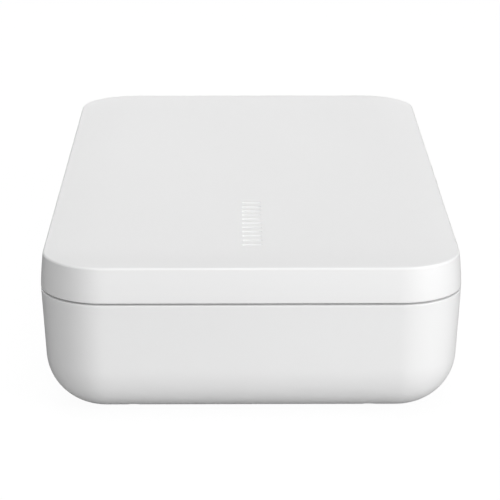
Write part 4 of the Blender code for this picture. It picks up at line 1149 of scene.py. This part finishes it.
def softbox(name, place, size, power):
    """A rectangular lamp, wide and tall, that faces the box."""
    data = bpy.data.lights.new(name, "AREA")
    data.shape = "RECTANGLE"
    data.size, data.size_y = size
    data.energy = power
    lamp = bpy.data.objects.new(name, data)
    bpy.context.scene.collection.objects.link(lamp)
    lamp.location = place
    away = np.asarray(place) - np.asarray(STUDIO_FOCUS)
    lamp.rotation_euler = direction_to_euler(-away)


def direction_to_euler(direction):
    """The turn that points a camera or lamp along a direction."""
    return Vector(direction).to_track_quat("-Z", "Y").to_euler()


class CLEANBOX_OT_stage(bpy.types.Operator):
    """Sets the camera, the floor, the softboxes and the plain white surround"""

    bl_idname = "cleanbox.stage"
    bl_label = "Studio"

    def execute(self, context):
        scene = bpy.context.scene
        scene.view_settings.view_transform = "Standard"
        data = bpy.data.cameras.new("view")
        data.sensor_fit = "HORIZONTAL"
        data.sensor_width = SENSOR_MM
        data.lens = SENSOR_MM * CAMERA_FOCAL_PIXELS / IMAGE_PIXELS
        data.clip_start, data.clip_end = 0.05, 20
        camera = bpy.data.objects.new("view", data)
        scene.collection.objects.link(camera)
        camera.location = CAMERA_PLACE
        level = math.cos(CAMERA_PITCH)
        towards = (-math.cos(CAMERA_YAW) * level, math.sin(CAMERA_YAW) * level, -math.sin(CAMERA_PITCH))
        camera.rotation_euler = direction_to_euler(towards)
        scene.camera = camera

        flat = rounded_outline(4, 4, 3.99, 24)
        z = CAD_BOUNDS[0][2]
        rings = [np.column_stack([flat, np.full(len(flat), height)]) for height in (z - 0.01, z)]
        floor = skin("floor", np.array(rings), floor_material())
        floor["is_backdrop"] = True

        for name, (place, size, power) in SOFTBOXES.items():
            softbox(name, place, size, power)

        world = bpy.data.worlds.new("white_surround")
        world.use_nodes = True
        scene.world = world
        tree = world.node_tree
        path = new_node(tree, "ShaderNodeLightPath")
        seen = new_node(
            tree, "ShaderNodeMath", operation="MAXIMUM",
            links={0: path.outputs["Is Camera Ray"], 1: path.outputs["Is Transmission Ray"]})
        level = new_node(
            tree, "ShaderNodeMapRange", {"To Min": WORLD_LEVEL, "To Max": 1.0}, {"Value": seen.outputs[0]})
        background = tree.nodes["Background"]
        background.inputs["Color"].default_value = linear("FFFFFF")
        tree.links.new(level.outputs["Result"], background.inputs["Strength"])
        return {"FINISHED"}


def floor_material():
    """Matt white studio paper: it lights the box from below, and its darker colour in glossy rays is a painted
    darker reflection in the box's sheen; to the camera it is mostly veiled by the surround's white, with a
    faint shadow left."""
    made, tree, shader = new_material("studio_paper", FLOOR_COLOUR, 1.0, specular_ior_level=0.0)
    path = new_node(tree, "ShaderNodeLightPath")
    # Painted darker reflection: glossy rays see the floor darker than it is, so the box's sheen shows painted
    # shade.
    painted_reflection_colour = new_node(
        tree, "ShaderNodeMix", {"A": linear(FLOOR_COLOUR), "B": linear(FLOOR_PAINTED_REFLECTION)},
        {"Factor": path.outputs["Is Glossy Ray"]}, data_type="RGBA")
    tree.links.new(painted_reflection_colour.outputs["Result"], shader.inputs["Base Color"])
    seen = new_node(
        tree, "ShaderNodeMath", operation="MAXIMUM",
        links={0: path.outputs["Is Camera Ray"], 1: path.outputs["Is Transmission Ray"]})
    veil = new_node(tree, "ShaderNodeMath", {1: FLOOR_VEIL}, {0: seen.outputs[0]}, operation="MULTIPLY")
    white = new_node(tree, "ShaderNodeEmission", {"Color": linear("FFFFFF"), "Strength": FLOOR_WHITE})
    both = new_node(
        tree, "ShaderNodeMixShader",
        links={0: veil.outputs[0], 1: shader.outputs["BSDF"], 2: white.outputs[0]})
    tree.links.new(both.outputs["Shader"], tree.nodes["Material Output"].inputs["Surface"])
    return made


STEPS = (
    CLEANBOX_OT_stage,
    CLEANBOX_OT_base_shell,
    CLEANBOX_OT_lid_shell,
    CLEANBOX_OT_tray,
    CLEANBOX_OT_liner,
    CLEANBOX_OT_lamps,
    CLEANBOX_OT_button,
    CLEANBOX_OT_hardware,
    CLEANBOX_OT_electronics,
)


class CLEANBOX_PT_panel(bpy.types.Panel):
    """Lists the pieces and their sizes"""

    bl_idname = "CLEANBOX_PT_panel"
    bl_label = "Cleaning Box"
    bl_space_type = "VIEW_3D"
    bl_region_type = "UI"
    bl_category = "Cleaning Box"

    def draw(self, context):
        for step in STEPS:
            self.layout.operator(step.bl_idname)
        for group in (context.scene.cleaning_box_shell, context.scene.cleaning_box_finish):
            box = self.layout.box()
            for key in group.__annotations__:
                box.prop(group, key)


CLASSES = (CLEANBOX_PG_shell, CLEANBOX_PG_finish, *STEPS, CLEANBOX_PT_panel)


def register():
    for made in CLASSES:
        bpy.utils.register_class(made)
    bpy.types.Scene.cleaning_box_shell = bpy.props.PointerProperty(type=CLEANBOX_PG_shell)
    bpy.types.Scene.cleaning_box_finish = bpy.props.PointerProperty(type=CLEANBOX_PG_finish)


def unregister():
    del bpy.types.Scene.cleaning_box_finish
    del bpy.types.Scene.cleaning_box_shell
    for made in reversed(CLASSES):
        bpy.utils.unregister_class(made)


def main():
    register()
    for step in STEPS:
        group, name = step.bl_idname.split(".")
        getattr(getattr(bpy.ops, group), name)()
    sizes = {"cad": CAD_BOUNDS, "visual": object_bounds()}
    sizes = {key: [list(corner) for corner in corners] for key, corners in sizes.items()}


if __name__ == "__main__":
    main()
